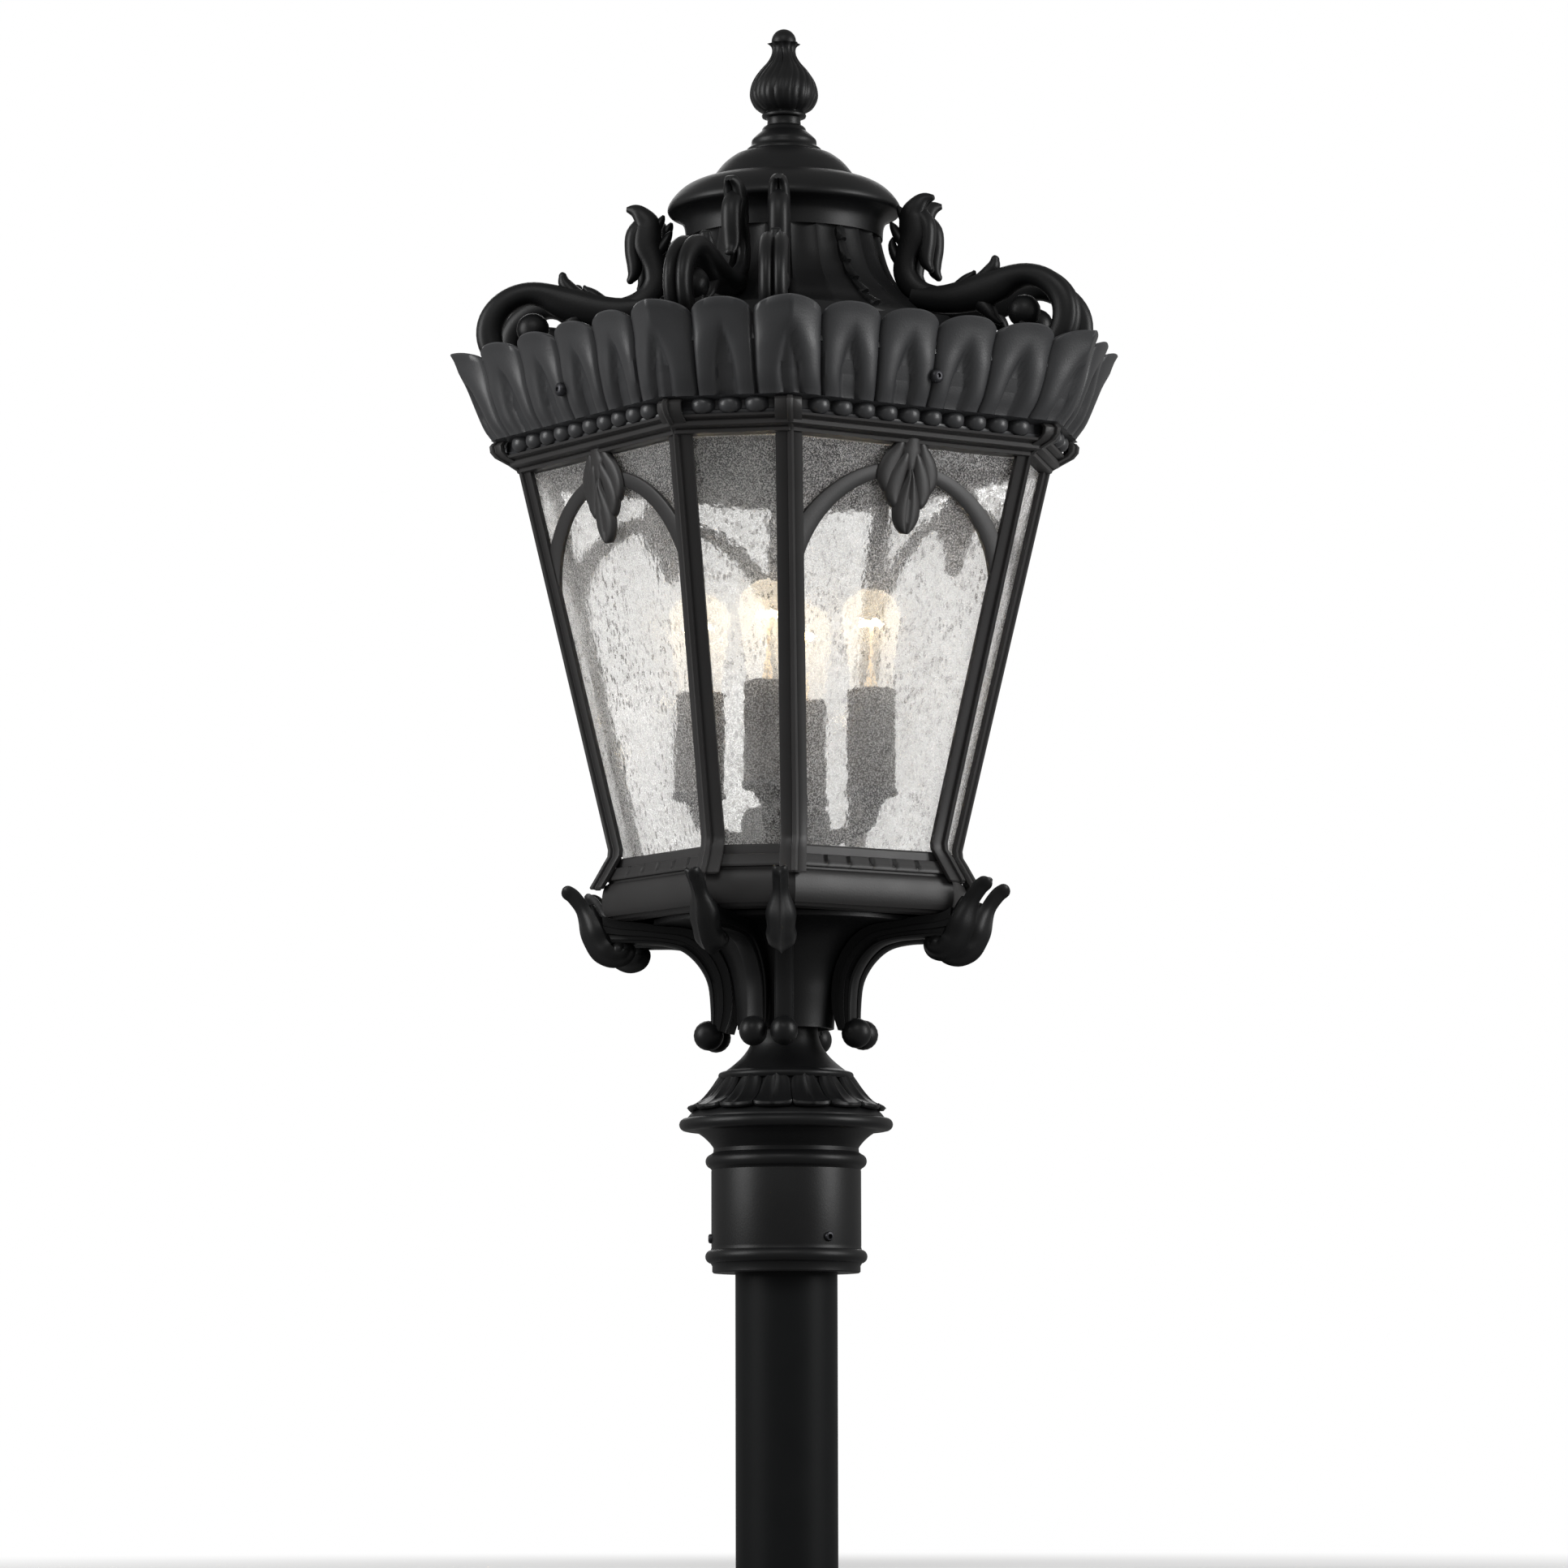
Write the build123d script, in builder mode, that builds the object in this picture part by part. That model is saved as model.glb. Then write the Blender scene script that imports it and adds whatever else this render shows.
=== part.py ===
from build123d import *
import math
import os

os.makedirs("parts", exist_ok=True)

# Four-light post lantern in black cast metal, on the cut top of its post.
# The axis is Z and z = 0 is the cut lower end of the post. The four wide faces look along X
# and Y, the four narrow ones along the diagonals.

# Sides of the larger round castings
round_sides = 36

# Post and fitter collar
post_radius = 31.0
post_wall = 3.0
post_stub = 180.0
slip = 0.3
collar_radius = 45.5
collar_wall = 5.0
collar_bead = 3.4
collar_height = 75.4
collar_top_plate = 9.0
collar_lip = 4.6
set_screw_radius = 3.0
set_screw_height = 20.8
set_screw_head = 2.0
set_screw_socket = 1.5
set_screw_angles = (-90, 30, 150)

# Neck casting between the collar and the trumpet
neck_height = 84.6
neck_flange_radius = 66.3
neck_stem_radius = 19.5
neck_wall = 5.0
neck_leaves = 15

# Trumpet base and its brackets
skirt_radius = 29.4
skirt_height = 18.0
skirt_overlap = 12.0
flare_radius = 45.0
trumpet_wall = 3.0
bracket_angle = 12.0
bracket_width = 12.0
bracket_leaf_width = 20.0
bracket_ball_radius = 9.2

# Centre pipe that ties the base together
pipe_radius = 5.0
pipe_bore = 3.2
pipe_nut_flats = 17.0
pipe_nut_height = 6.0

# Octagonal tray, measured from the axis to its wide and narrow flats
tray_height = 32.0
tray_wall = 4.0
tray_floor = 3.0
tray_ogee_height = 23.0
tray_foot = (85.5, 96.5)
tray_ogee = (96.6, 109.1)
dentil_pitch = 16.5
dentils = 5

# Cage of eight angle ribs between a sill and a head ring
sill_height = 4.7
glass_height = 239.0
cage_low = (89.8, 101.8)
cage_high = (134.6, 157.4)
rib_leg_wide = 8.0
rib_leg_narrow = 9.4
rib_wall = 3.0
rib_ridge = 2.0
ridge_half_width = 1.5
rib_foot = (99.4, 112.8)
rib_foot_drop = 17.0
rib_foot_spring = 5.0
rib_knee = (150.9, 176.1)
rib_knee_rise = 13.3
rib_knee_top = (148.0, 172.6)
rib_knee_height = 19.5
head_step = 3.6
head_height = 10.3
head_depth = 14.0

# Glass, arches and clips
glass_thickness = 3.0
glass_edge = 4.0
glass_play = 1.5
arch_outer = 88.0
arch_inner = 70.0
arch_crown = 11.5
arch_band = 8.0
arch_thickness = 3.0
clip_width = 10.0
clip_height = 12.0
clip_thickness = 1.6

# Lamp cluster
lamp_circle = 53.0
hub_radius = 27.0
hub_height = 37.0
arm_radius = 5.0
arm_rise = 22.0
arm_bend = 13.0
sleeve_radius = 14.75
sleeve_wall = 1.2
sleeve_height = 61.0
cup_height = 13.0
socket_radius = 12.5
socket_bore = 8.6
socket_height = 38.0
bulb_radius = 17.5
bulb_reach = 62.0
bulb_neck_radius = 12.6
bulb_base_radius = 8.3
bulb_base_length = 17.0

# Crown gallery
bead_rail = (144.2, 167.5)
bead_rail_wall = 8.0
bead_height = 9.4
bead_pitch = 16.2
bead_width = 14.0
bead_depth = 6.0
wide_beads = 10
narrow_beads = 3
gallery_low = (153.9, 177.2)
gallery_mid = (162.8, 189.0)
gallery_high = (172.5, 200.3)
gallery_belly = 24.0
gallery_height = 54.2
gallery_wall = 5.0
gallery_floor = 3.0
screw_rise = 17.5
screw_head = 3.6
screw_shank = 1.8
petal_lobe = 3.0
petal_notch = 8.4
wide_seams = (-0.783, -0.39, 0, 0.39, 0.783)
narrow_seams = (-0.45, 0.45)
ledge_height = 31.0
ledge_width = 6.0

# Roof plate, fluted bell and scrolls
roof_wall = 3.0
roof_eave = 4.0
roof_rise = 35.1
roof_shoulder = (118.0, 138.0)
roof_collar = (99.0, 108.0)
bell_foot_radius = 100.0
bell_neck_radius = 60.0
bell_rise = 56.4
flutes = 24
flute_depth = 1.6
scroll_angle = 9.0
scroll_width = 17.0
finger_width = 13.0
scroll_eye_radius = 9.0
scroll_curl_radius = 31.5

# Dome cap and finial
cap_radius = 71.7
cap_wall = 3.0
cap_height = 72.0
finial_radius = 20.3
finial_height = 60.8
finial_petals = 8
stud_radius = 4.0
stud_nut_radius = 8.0
stud_nut_height = 5.0

bell_bore = bell_neck_radius - flute_depth - roof_wall
spigot_radius = bell_bore * math.cos(math.pi / flutes) - slip

# Heights, each from the piece below
collar_z = post_stub
neck_z = collar_z + collar_height
skirt_z = neck_z + neck_height - skirt_overlap
flare_z = skirt_z + skirt_height
tray_z = flare_z + flare_radius + trumpet_wall
sill_z = tray_z + tray_height
glass_z = sill_z + sill_height
head_z = glass_z + glass_height
roof_z = head_z + head_height
gallery_z = roof_z + bead_height + slip
ledge_z = gallery_z + ledge_height
screw_z = gallery_z + screw_rise
bell_z = ledge_z + gallery_floor + roof_rise
cap_z = bell_z + bell_rise
finial_z = cap_z + cap_height


def octagon(flats):
    """Corners of an octagon from the distances of its wide and narrow flats."""
    wide, narrow = flats
    half = narrow * math.sqrt(2) - wide
    quarter = [(wide, -half), (wide, half)]
    return [turned(point, 90 * side) for side in range(4) for point in quarter]


def turned(point, angle):
    return tuple(Vector(*point).rotate(Axis.Z, angle))[:2]


def inset(flats, depth):
    return flats[0] - depth, flats[1] - depth


def blend(low, high, share):
    return tuple(a + (b - a) * share for a, b in zip(low, high))


def cage_flats(z):
    """Flats of the cage's outer faces at a height."""
    return blend(cage_low, cage_high, (z - glass_z) / glass_height)


def foot_flats(z):
    """Flats of the ribs' outer faces where they flare over the tray."""
    spring = glass_z + rib_foot_spring
    share = (spring - z) / (rib_foot_spring + rib_foot_drop)
    return blend(cage_flats(spring), rib_foot, share)


def arc_points(centre, radius, start, end, steps):
    """Points along an arc, from one angle to another."""
    angles = [start + (end - start) * step / steps for step in range(steps + 1)]
    return [
        (centre[0] + radius * math.cos(math.radians(a)), centre[1] + radius * math.sin(math.radians(a)))
        for a in angles
    ]


def turned_form(levels, sides, spot=(0, 0), mode=Mode.ADD):
    """Tapered bands up a turned form. One that widens is made upside down, then mirrored."""
    stack = []
    for (radius, z), (next_radius, next_z) in zip(levels, levels[1:]):
        if next_z > z:
            widens = next_radius > radius
            rim = Plane(origin=(*spot, next_z if widens else z))
            narrowing = abs(next_radius - radius) * math.cos(math.pi / sides)
            taper = math.degrees(math.atan2(narrowing, next_z - z))
            with BuildSketch(rim) as ring:
                RegularPolygon(max(radius, next_radius), sides)
            band = extrude(ring.sketch, amount=next_z - z, taper=taper, mode=Mode.PRIVATE)
            stack += mirror(band, about=rim, mode=Mode.PRIVATE).solids() if widens else band.solids()
    add(stack, mode=mode)


def radial_plane(angle):
    """Upright plane through the axis: local x runs outward, local y up."""
    direction = Vector(1, 0, 0).rotate(Axis.Z, angle)
    return Plane(origin=(0, 0, 0), x_dir=direction, z_dir=direction.cross(Vector(0, 0, 1)))


def square_plane(angle, z):
    """Plane square to a level direction: local x runs up, local z outward."""
    return Plane(origin=(0, 0, z), x_dir=(0, 0, 1), z_dir=Vector(1, 0, 0).rotate(Axis.Z, angle))


def face_plane(face):
    """Leaning plane of a cage face at the glass's foot: local x runs along the sill, local y up."""
    flat = face % 2
    lean = math.atan2(cage_high[flat] - cage_low[flat], glass_height)
    outward = Vector(math.cos(lean), 0, -math.sin(lean)).rotate(Axis.Z, 45 * face)
    along = Vector(0, 1, 0).rotate(Axis.Z, 45 * face)
    foot = Vector(cage_low[flat], 0, glass_z).rotate(Axis.Z, 45 * face)
    return Plane(origin=foot, x_dir=along, z_dir=outward)


def face_half_width(face, z):
    wide, narrow = cage_flats(z)
    if face % 2:
        return wide * math.sqrt(2) - narrow
    return narrow * math.sqrt(2) - wide


def face_slope(face):
    """Length along a leaning face for each millimetre of height."""
    flat = face % 2
    return math.hypot(cage_high[flat] - cage_low[flat], glass_height) / glass_height


def rib_section(flats, corner):
    """Angle section at one corner: a leg along each face, a ridge outside."""
    wide, narrow = flats
    half = narrow * math.sqrt(2) - wide
    inner_half = (narrow - rib_wall) * math.sqrt(2) - (wide - rib_wall)
    diagonal = math.sqrt(0.5)
    spread = math.radians(22.5)
    ridge = (rib_ridge * math.cos(spread), rib_ridge * math.sin(spread))
    leg, bead = rib_leg_narrow, ridge_half_width
    section = [
        (wide, half - rib_leg_wide),
        (wide, half - bead),
        (wide + ridge[0], half - bead + ridge[1]),
        (wide - bead * diagonal + ridge[0], half + bead * diagonal + ridge[1]),
        (wide - bead * diagonal, half + bead * diagonal),
        (wide - leg * diagonal, half + leg * diagonal),
        (wide - (leg + rib_wall) * diagonal, half + (leg - rib_wall) * diagonal),
        (wide - rib_wall, inner_half),
        (wide - rib_wall, half - rib_leg_wide),
    ]
    if corner % 2:
        section = [(x, -y) for x, y in section]
    return [turned(point, 90 * (corner // 2)) for point in section]


def gallery_flats(z):
    """Flats of the gallery's outer face at a height."""
    rise = z - gallery_z
    if rise < gallery_belly:
        return blend(gallery_low, gallery_mid, rise / gallery_belly)
    return blend(gallery_mid, gallery_high, (rise - gallery_belly) / (gallery_height - gallery_belly))


def petal_ring(flats):
    """Octagon with grooves: deep at the seams between petals, shallow at their creases."""
    wide, narrow = flats
    halves = (narrow * math.sqrt(2) - wide, wide * math.sqrt(2) - narrow)
    ring = []
    for face in range(8):
        seams = (wide_seams, narrow_seams)[face % 2]
        edges = [-2 - seams[0]] + list(seams) + [2 - seams[-1]]
        half = halves[face % 2]
        flat = flats[face % 2]
        side = []
        for low_seam, high_seam in zip(edges, edges[1:]):
            width = high_seam - low_seam
            for share, depth in ((0, 1), (0.12, 0.2), (0.38, 0.2), (0.5, 0.9), (0.62, 0.2), (0.88, 0.2)):
                place = low_seam + share * width
                if -0.999 < place < 0.999:
                    side.append((flat - petal_lobe * depth, place * half))
        corner = (flat - petal_lobe, (halves[face % 2] / flat) * (flat - petal_lobe))
        side.append(corner)
        ring += [turned(point, 45 * face) for point in side]
    return ring


# Post, cut off plain at its lower end
with BuildPart() as post_tube:
    with BuildSketch():
        Circle(post_radius)
        Circle(post_radius - post_wall, mode=Mode.SUBTRACT)
    extrude(amount=post_stub + collar_height - collar_top_plate)
post_tube.part.label = "post_tube"
export_step(post_tube.part, "parts/post_tube.step")

# Fitter collar: a cast cup over the post, with a round bead above and below
with BuildPart() as fitter_collar:
    collar_levels = (
        (collar_radius - 0.5, collar_z),
        (collar_radius - 0.5, collar_z + collar_lip),
        (collar_radius + collar_bead, collar_z + collar_lip + 3),
        (collar_radius + collar_bead, collar_z + collar_lip + 8),
        (collar_radius, collar_z + collar_lip + 11),
        (collar_radius, collar_z + collar_height - 13),
        (collar_radius + collar_bead, collar_z + collar_height - 10),
        (collar_radius + collar_bead, collar_z + collar_height - 5.5),
        (collar_radius - 1.2, collar_z + collar_height - 2.5),
        (collar_radius - 1.2, collar_z + collar_height),
    )
    turned_form(collar_levels, round_sides)
    with BuildSketch(Plane.XY.offset(collar_z)):
        RegularPolygon(post_radius + slip, round_sides, major_radius=False)
    extrude(amount=collar_height - collar_top_plate, mode=Mode.SUBTRACT)
    with BuildSketch(Plane.XY.offset(collar_z + collar_lip)):
        RegularPolygon(collar_radius - collar_wall, round_sides)
    extrude(amount=collar_height - collar_top_plate - collar_lip - 6, mode=Mode.SUBTRACT)
    with BuildSketch(Plane.XY.offset(collar_z)):
        Circle(pipe_radius + slip)
    extrude(amount=collar_height, mode=Mode.SUBTRACT)
    for angle in set_screw_angles:
        with BuildSketch(square_plane(angle, collar_z + set_screw_height)):
            Circle(set_screw_radius + slip)
        extrude(amount=collar_radius + collar_bead, mode=Mode.SUBTRACT)
fitter_collar.part.label = "fitter_collar"
export_step(fitter_collar.part, "parts/fitter_collar.step")

# Three set screws through the collar, each with its point on the post
for number, angle in enumerate(set_screw_angles, start=1):
    screw_plane = square_plane(angle, collar_z + set_screw_height)
    with BuildPart() as set_screw:
        with BuildSketch(screw_plane.offset(post_radius + slip)):
            RegularPolygon(set_screw_radius, 12)
        extrude(amount=collar_radius + set_screw_head - post_radius - slip)
        point = set_screw.faces().sort_by(Axis((0, 0, 0), screw_plane.z_dir))[0]
        chamfer(point.edges(), set_screw_radius / 3)
        with BuildSketch(screw_plane.offset(collar_radius + set_screw_head)):
            RegularPolygon(set_screw_socket, 6)
        extrude(amount=-set_screw_radius, mode=Mode.SUBTRACT)
    set_screw.part.label = f"set_screw_{number}"
    export_step(set_screw.part, f"parts/set_screw_{number}.step")

# Neck casting: a flared leaf flange that tapers to a stem inside the skirt
with BuildPart() as neck_casting:
    neck_levels = (
        (collar_radius - 1.2, neck_z),
        (collar_radius + 3, neck_z + 6),
        (neck_flange_radius - 9, neck_z + 11.8),
        (neck_flange_radius, neck_z + 14.8),
        (neck_flange_radius, neck_z + 17.7),
        (neck_flange_radius - 7.7, neck_z + 23),
        (neck_flange_radius - 9, neck_z + 26.5),
        (neck_stem_radius + 18.5, neck_z + 42),
        (neck_stem_radius + 6, neck_z + 57.5),
        (neck_stem_radius, neck_z + 69),
        (neck_stem_radius, neck_z + neck_height),
    )
    turned_form(neck_levels, 2 * neck_leaves)
    hollow_levels = (
        (collar_radius - 2 * neck_wall, neck_z),
        (collar_radius - 2 * neck_wall, neck_z + 14),
        (neck_stem_radius - neck_wall, neck_z + 50),
        (neck_stem_radius - neck_wall, neck_z + neck_height - neck_wall),
    )
    turned_form(hollow_levels, 2 * neck_leaves, mode=Mode.SUBTRACT)
    with BuildSketch(Plane.XY.offset(neck_z + neck_height)):
        Circle(pipe_radius + slip)
    extrude(amount=-2 * neck_wall, mode=Mode.SUBTRACT)
neck_casting.part.label = "neck_casting"
export_step(neck_casting.part, "parts/neck_casting.step")

# Trumpet base: a plain skirt that flares in a quarter round to the tray
flare_centre = (skirt_radius + 2 + flare_radius, flare_z)
flare_lip_radius = flare_centre[0] + 4
trumpet_seat = neck_z + neck_height
with BuildPart() as base_trumpet:
    flare = arc_points(flare_centre, flare_radius, 180, 90, 6)
    trumpet_levels = [(skirt_radius, skirt_z)] + flare[:-1]
    trumpet_levels += [(flare_lip_radius, tray_z - trumpet_wall), (flare_lip_radius, tray_z)]
    turned_form(trumpet_levels, round_sides)
    throat = arc_points(flare_centre, flare_radius + trumpet_wall, 165, 93, 4)
    throat_levels = [(skirt_radius - trumpet_wall + 1, trumpet_seat + trumpet_wall + 4)] + throat
    throat_levels += [(throat[-1][0], tray_z)]
    turned_form(throat_levels, round_sides, mode=Mode.SUBTRACT)
    with BuildSketch(Plane.XY.offset(skirt_z)):
        RegularPolygon(skirt_radius - trumpet_wall, round_sides)
    extrude(amount=skirt_overlap, mode=Mode.SUBTRACT)
    with BuildSketch(Plane.XY.offset(skirt_z)):
        Circle(pipe_radius + slip)
    extrude(amount=skirt_height + skirt_overlap, mode=Mode.SUBTRACT)
base_trumpet.part.label = "base_trumpet"
export_step(base_trumpet.part, "parts/base_trumpet.step")

# Octagonal tray: floor on top, banded edge with dentils, rounded belly, open below
with BuildPart() as base_tray:
    tray_band_low = inset(foot_flats(tray_z + tray_ogee_height), rib_wall + slip)
    tray_band_high = inset(foot_flats(sill_z), rib_wall + slip)
    belly = (
        (tray_foot, 0),
        (tray_ogee, 6),
        (tray_ogee, tray_ogee_height - 6),
        (inset(tray_ogee, 2), tray_ogee_height),
        (tray_band_low, tray_ogee_height + 0.5),
        (tray_band_high, tray_height),
    )
    for (flats, height), (next_flats, next_height) in zip(belly, belly[1:]):
        with BuildSketch(Plane.XY.offset(tray_z + height)):
            Polygon(*octagon(flats), align=None)
        with BuildSketch(Plane.XY.offset(tray_z + next_height)):
            Polygon(*octagon(next_flats), align=None)
        loft(ruled=True)
    with BuildSketch(Plane.XY.offset(tray_z + tray_floor)):
        Polygon(*octagon(inset(tray_foot, tray_wall)), align=None)
    with BuildSketch(Plane.XY.offset(tray_z + tray_height - tray_floor)):
        Polygon(*octagon(inset(tray_band_high, tray_wall + 2)), align=None)
    loft(ruled=True, mode=Mode.SUBTRACT)
    with BuildSketch(Plane.XY.offset(tray_z)):
        Circle(flare_centre[0] - 6)
    extrude(amount=tray_floor, mode=Mode.SUBTRACT)
    with BuildSketch(Plane.XY.offset(tray_z + tray_height)):
        Circle(pipe_radius + slip)
    extrude(amount=-tray_floor, mode=Mode.SUBTRACT)
    for side in range(4):
        dentil_plane = square_plane(90 * side, tray_z + tray_ogee_height + 4.5).offset(tray_band_high[0] + 2.6)
        with BuildSketch(dentil_plane):
            for place in range(dentils):
                with Locations((0, (place - (dentils - 1) / 2) * dentil_pitch)):
                    Rectangle(5, 2)
        extrude(amount=tray_wall + 4, mode=Mode.SUBTRACT)
base_tray.part.label = "base_tray"
export_step(base_tray.part, "parts/base_tray.step")

# Eight scroll brackets under the tray, a pair beside each narrow face
bracket_points = (
    arc_points(flare_centre, flare_radius - slip, 180, 90, 6)
    + [(flare_lip_radius + slip, tray_z - trumpet_wall - slip), (flare_lip_radius + slip, tray_z)]
    + [(tray_foot[1] + 6, tray_z), (tray_ogee[1] + 4.4, tray_z + 3)]
    + [(tray_ogee[1] + 8.4, tray_z + 10)]
    + arc_points((130.3, tray_z + 17.5), 6, 190, -10, 6)
    + [(126, tray_z + 4), (123.4, tray_z - 5)]
    + arc_points((105.2, tray_z - 13), 14, 10, -190, 10)
    + [(82.4, tray_z - 15), (72.6, tray_z - 15.4), (64.2, tray_z - 18), (57, tray_z - 23.2)]
    + [(51.2, tray_z - 31.4), (47.6, tray_z - 42), (47, tray_z - 52), (48, tray_z - 64)]
    + [(38, tray_z - 66)]
)
ball_centre = (47, tray_z - 70)
for number in range(8):
    side = 45 + 90 * (number // 2) + bracket_angle * (-1, 1)[number % 2]
    with BuildPart() as lower_bracket:
        with BuildSketch(radial_plane(side)):
            Polygon(*bracket_points, align=None)
            with Locations(ball_centre):
                RegularPolygon(bracket_ball_radius, 14)
        extrude(amount=bracket_width / 2, both=True)
    lower_bracket.part.label = f"lower_bracket_{number + 1}"
    export_step(lower_bracket.part, f"parts/lower_bracket_{number + 1}.step")

# Cage: sill ring, stepped head ring and eight angle ribs with a ridge along each corner
rib_levels = (
    (rib_foot, glass_z - rib_foot_drop),
    (cage_flats(glass_z + rib_foot_spring), glass_z + rib_foot_spring),
    (cage_flats(head_z), head_z),
    (rib_knee, head_z + rib_knee_rise),
    (rib_knee_top, head_z + rib_knee_height),
)
with BuildPart() as cage_frame:
    for corner in range(8):
        for (flats, z), (next_flats, next_z) in zip(rib_levels, rib_levels[1:]):
            for level, height in ((flats, z), (next_flats, next_z)):
                with BuildSketch(Plane.XY.offset(height)):
                    Polygon(*rib_section(level, corner), align=None)
            loft(ruled=True)
    with BuildSketch(Plane.XY.offset(sill_z)):
        Polygon(*octagon(inset(cage_low, 1)), align=None)
        Polygon(*octagon(inset(cage_low, 1 + head_depth)), align=None, mode=Mode.SUBTRACT)
    extrude(amount=sill_height)
    for step in range(3):
        with BuildSketch(Plane.XY.offset(head_z + step * head_height / 3)):
            Polygon(*octagon(inset(cage_high, -head_step * (step + 1))), align=None)
            Polygon(*octagon(inset(cage_high, head_depth - head_step)), align=None, mode=Mode.SUBTRACT)
        extrude(amount=head_height / 3)
cage_frame.part.label = "cage_frame"
export_step(cage_frame.part, "parts/cage_frame.step")

# Glass panes behind the ribs: a wide and a narrow one by turns
for face in range(8):
    kind = ("wide", "narrow")[face % 2]
    slope = face_slope(face)
    low_half = face_half_width(face, glass_z) - glass_edge
    high_half = face_half_width(face, head_z) - glass_edge
    with BuildPart() as glass_pane:
        with BuildSketch(face_plane(face).offset(-rib_wall - glass_thickness - 0.1)):
            Polygon(
                (-low_half, 0),
                (low_half, 0),
                (high_half, (glass_height - glass_play) * slope),
                (-high_half, (glass_height - glass_play) * slope),
                align=None,
            )
        extrude(amount=glass_thickness)
    glass_pane.part.label = f"glass_{kind}_{face // 2 + 1}"
    export_step(glass_pane.part, f"parts/{glass_pane.part.label}.step")

# Arched trim over each wide pane, with a hanging leaf at its crown
for side in range(4):
    slope = face_slope(0)
    crown = (glass_height - arch_crown) * slope
    leg = rib_leg_wide + slip
    with BuildPart() as arch_trim:
        with BuildSketch(face_plane(2 * side).offset(-arch_thickness)):
            with Locations((0, crown - arch_outer)):
                Circle(arch_outer)
            with Locations((0, crown - arch_band - arch_inner)):
                Circle(arch_inner, mode=Mode.SUBTRACT)
            opening_low = face_half_width(0, glass_z) - leg
            opening_high = face_half_width(0, head_z) - leg
            Polygon(
                (-opening_low, 0),
                (opening_low, 0),
                (opening_high, glass_height * slope),
                (-opening_high, glass_height * slope),
                align=None,
                mode=Mode.INTERSECT,
            )
            Rectangle(300, 2 * (crown - arch_band - arch_inner), mode=Mode.SUBTRACT)
            with Locations((0, crown - arch_band)):
                Trapezoid(41, 30, 75, align=(Align.CENTER, Align.CENTER))
            with Locations((0, crown - arch_band - 24)):
                Trapezoid(20, 22, 75, rotation=180, align=(Align.CENTER, Align.CENTER))
        extrude(amount=arch_thickness)
    arch_trim.part.label = f"arch_trim_{side + 1}"
    export_step(arch_trim.part, f"parts/arch_trim_{side + 1}.step")

# Spring clips that hold the foot of each pane against the ribs
with BuildPart() as glass_clips:
    for face in range(8):
        clip_plane = face_plane(face).offset(-rib_wall - glass_thickness - 0.2)
        with BuildSketch(clip_plane):
            with Locations((0, clip_height / 2 + 0.2)):
                Rectangle(clip_width, clip_height)
        extrude(amount=-clip_thickness)
glass_clips.part.label = "glass_clips"
export_step(glass_clips.part, "parts/glass_clips.step")

# Lamp cluster: a round hub on the tray with four bent arms that end in cups
cup_z = sill_z + arm_rise + arm_bend
lamp_angles = (45, 135, 225, 315)
with BuildPart() as lamp_cluster:
    with BuildSketch(Plane.XY.offset(sill_z)):
        RegularPolygon(hub_radius, round_sides)
        Circle(pipe_radius + slip, mode=Mode.SUBTRACT)
    extrude(amount=hub_height)
    hub_top = lamp_cluster.faces().sort_by(Axis.Z)[-1]
    chamfer(hub_top.outer_wire().edges(), 3)
    for angle in lamp_angles:
        bend_centre = (lamp_circle - arm_bend, cup_z)
        arm_side = arc_points(bend_centre, arm_bend - arm_radius, -90, 0, 4)
        arm_side += arc_points(bend_centre, arm_bend + arm_radius, 0, -90, 5)
        with BuildSketch(radial_plane(angle)):
            Polygon(
                (hub_radius - 4, cup_z - arm_bend + arm_radius),
                *arm_side,
                (hub_radius - 4, cup_z - arm_bend - arm_radius),
                align=None,
            )
        extrude(amount=arm_radius, both=True)
        lamp_spot = turned((lamp_circle, 0), angle)
        cup_levels = ((arm_radius + 2.5, cup_z - 0.5), (sleeve_radius - 1, cup_z + cup_height))
        turned_form(cup_levels, 16, lamp_spot)
lamp_cluster.part.label = "lamp_cluster"
export_step(lamp_cluster.part, "parts/lamp_cluster.step")

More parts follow.
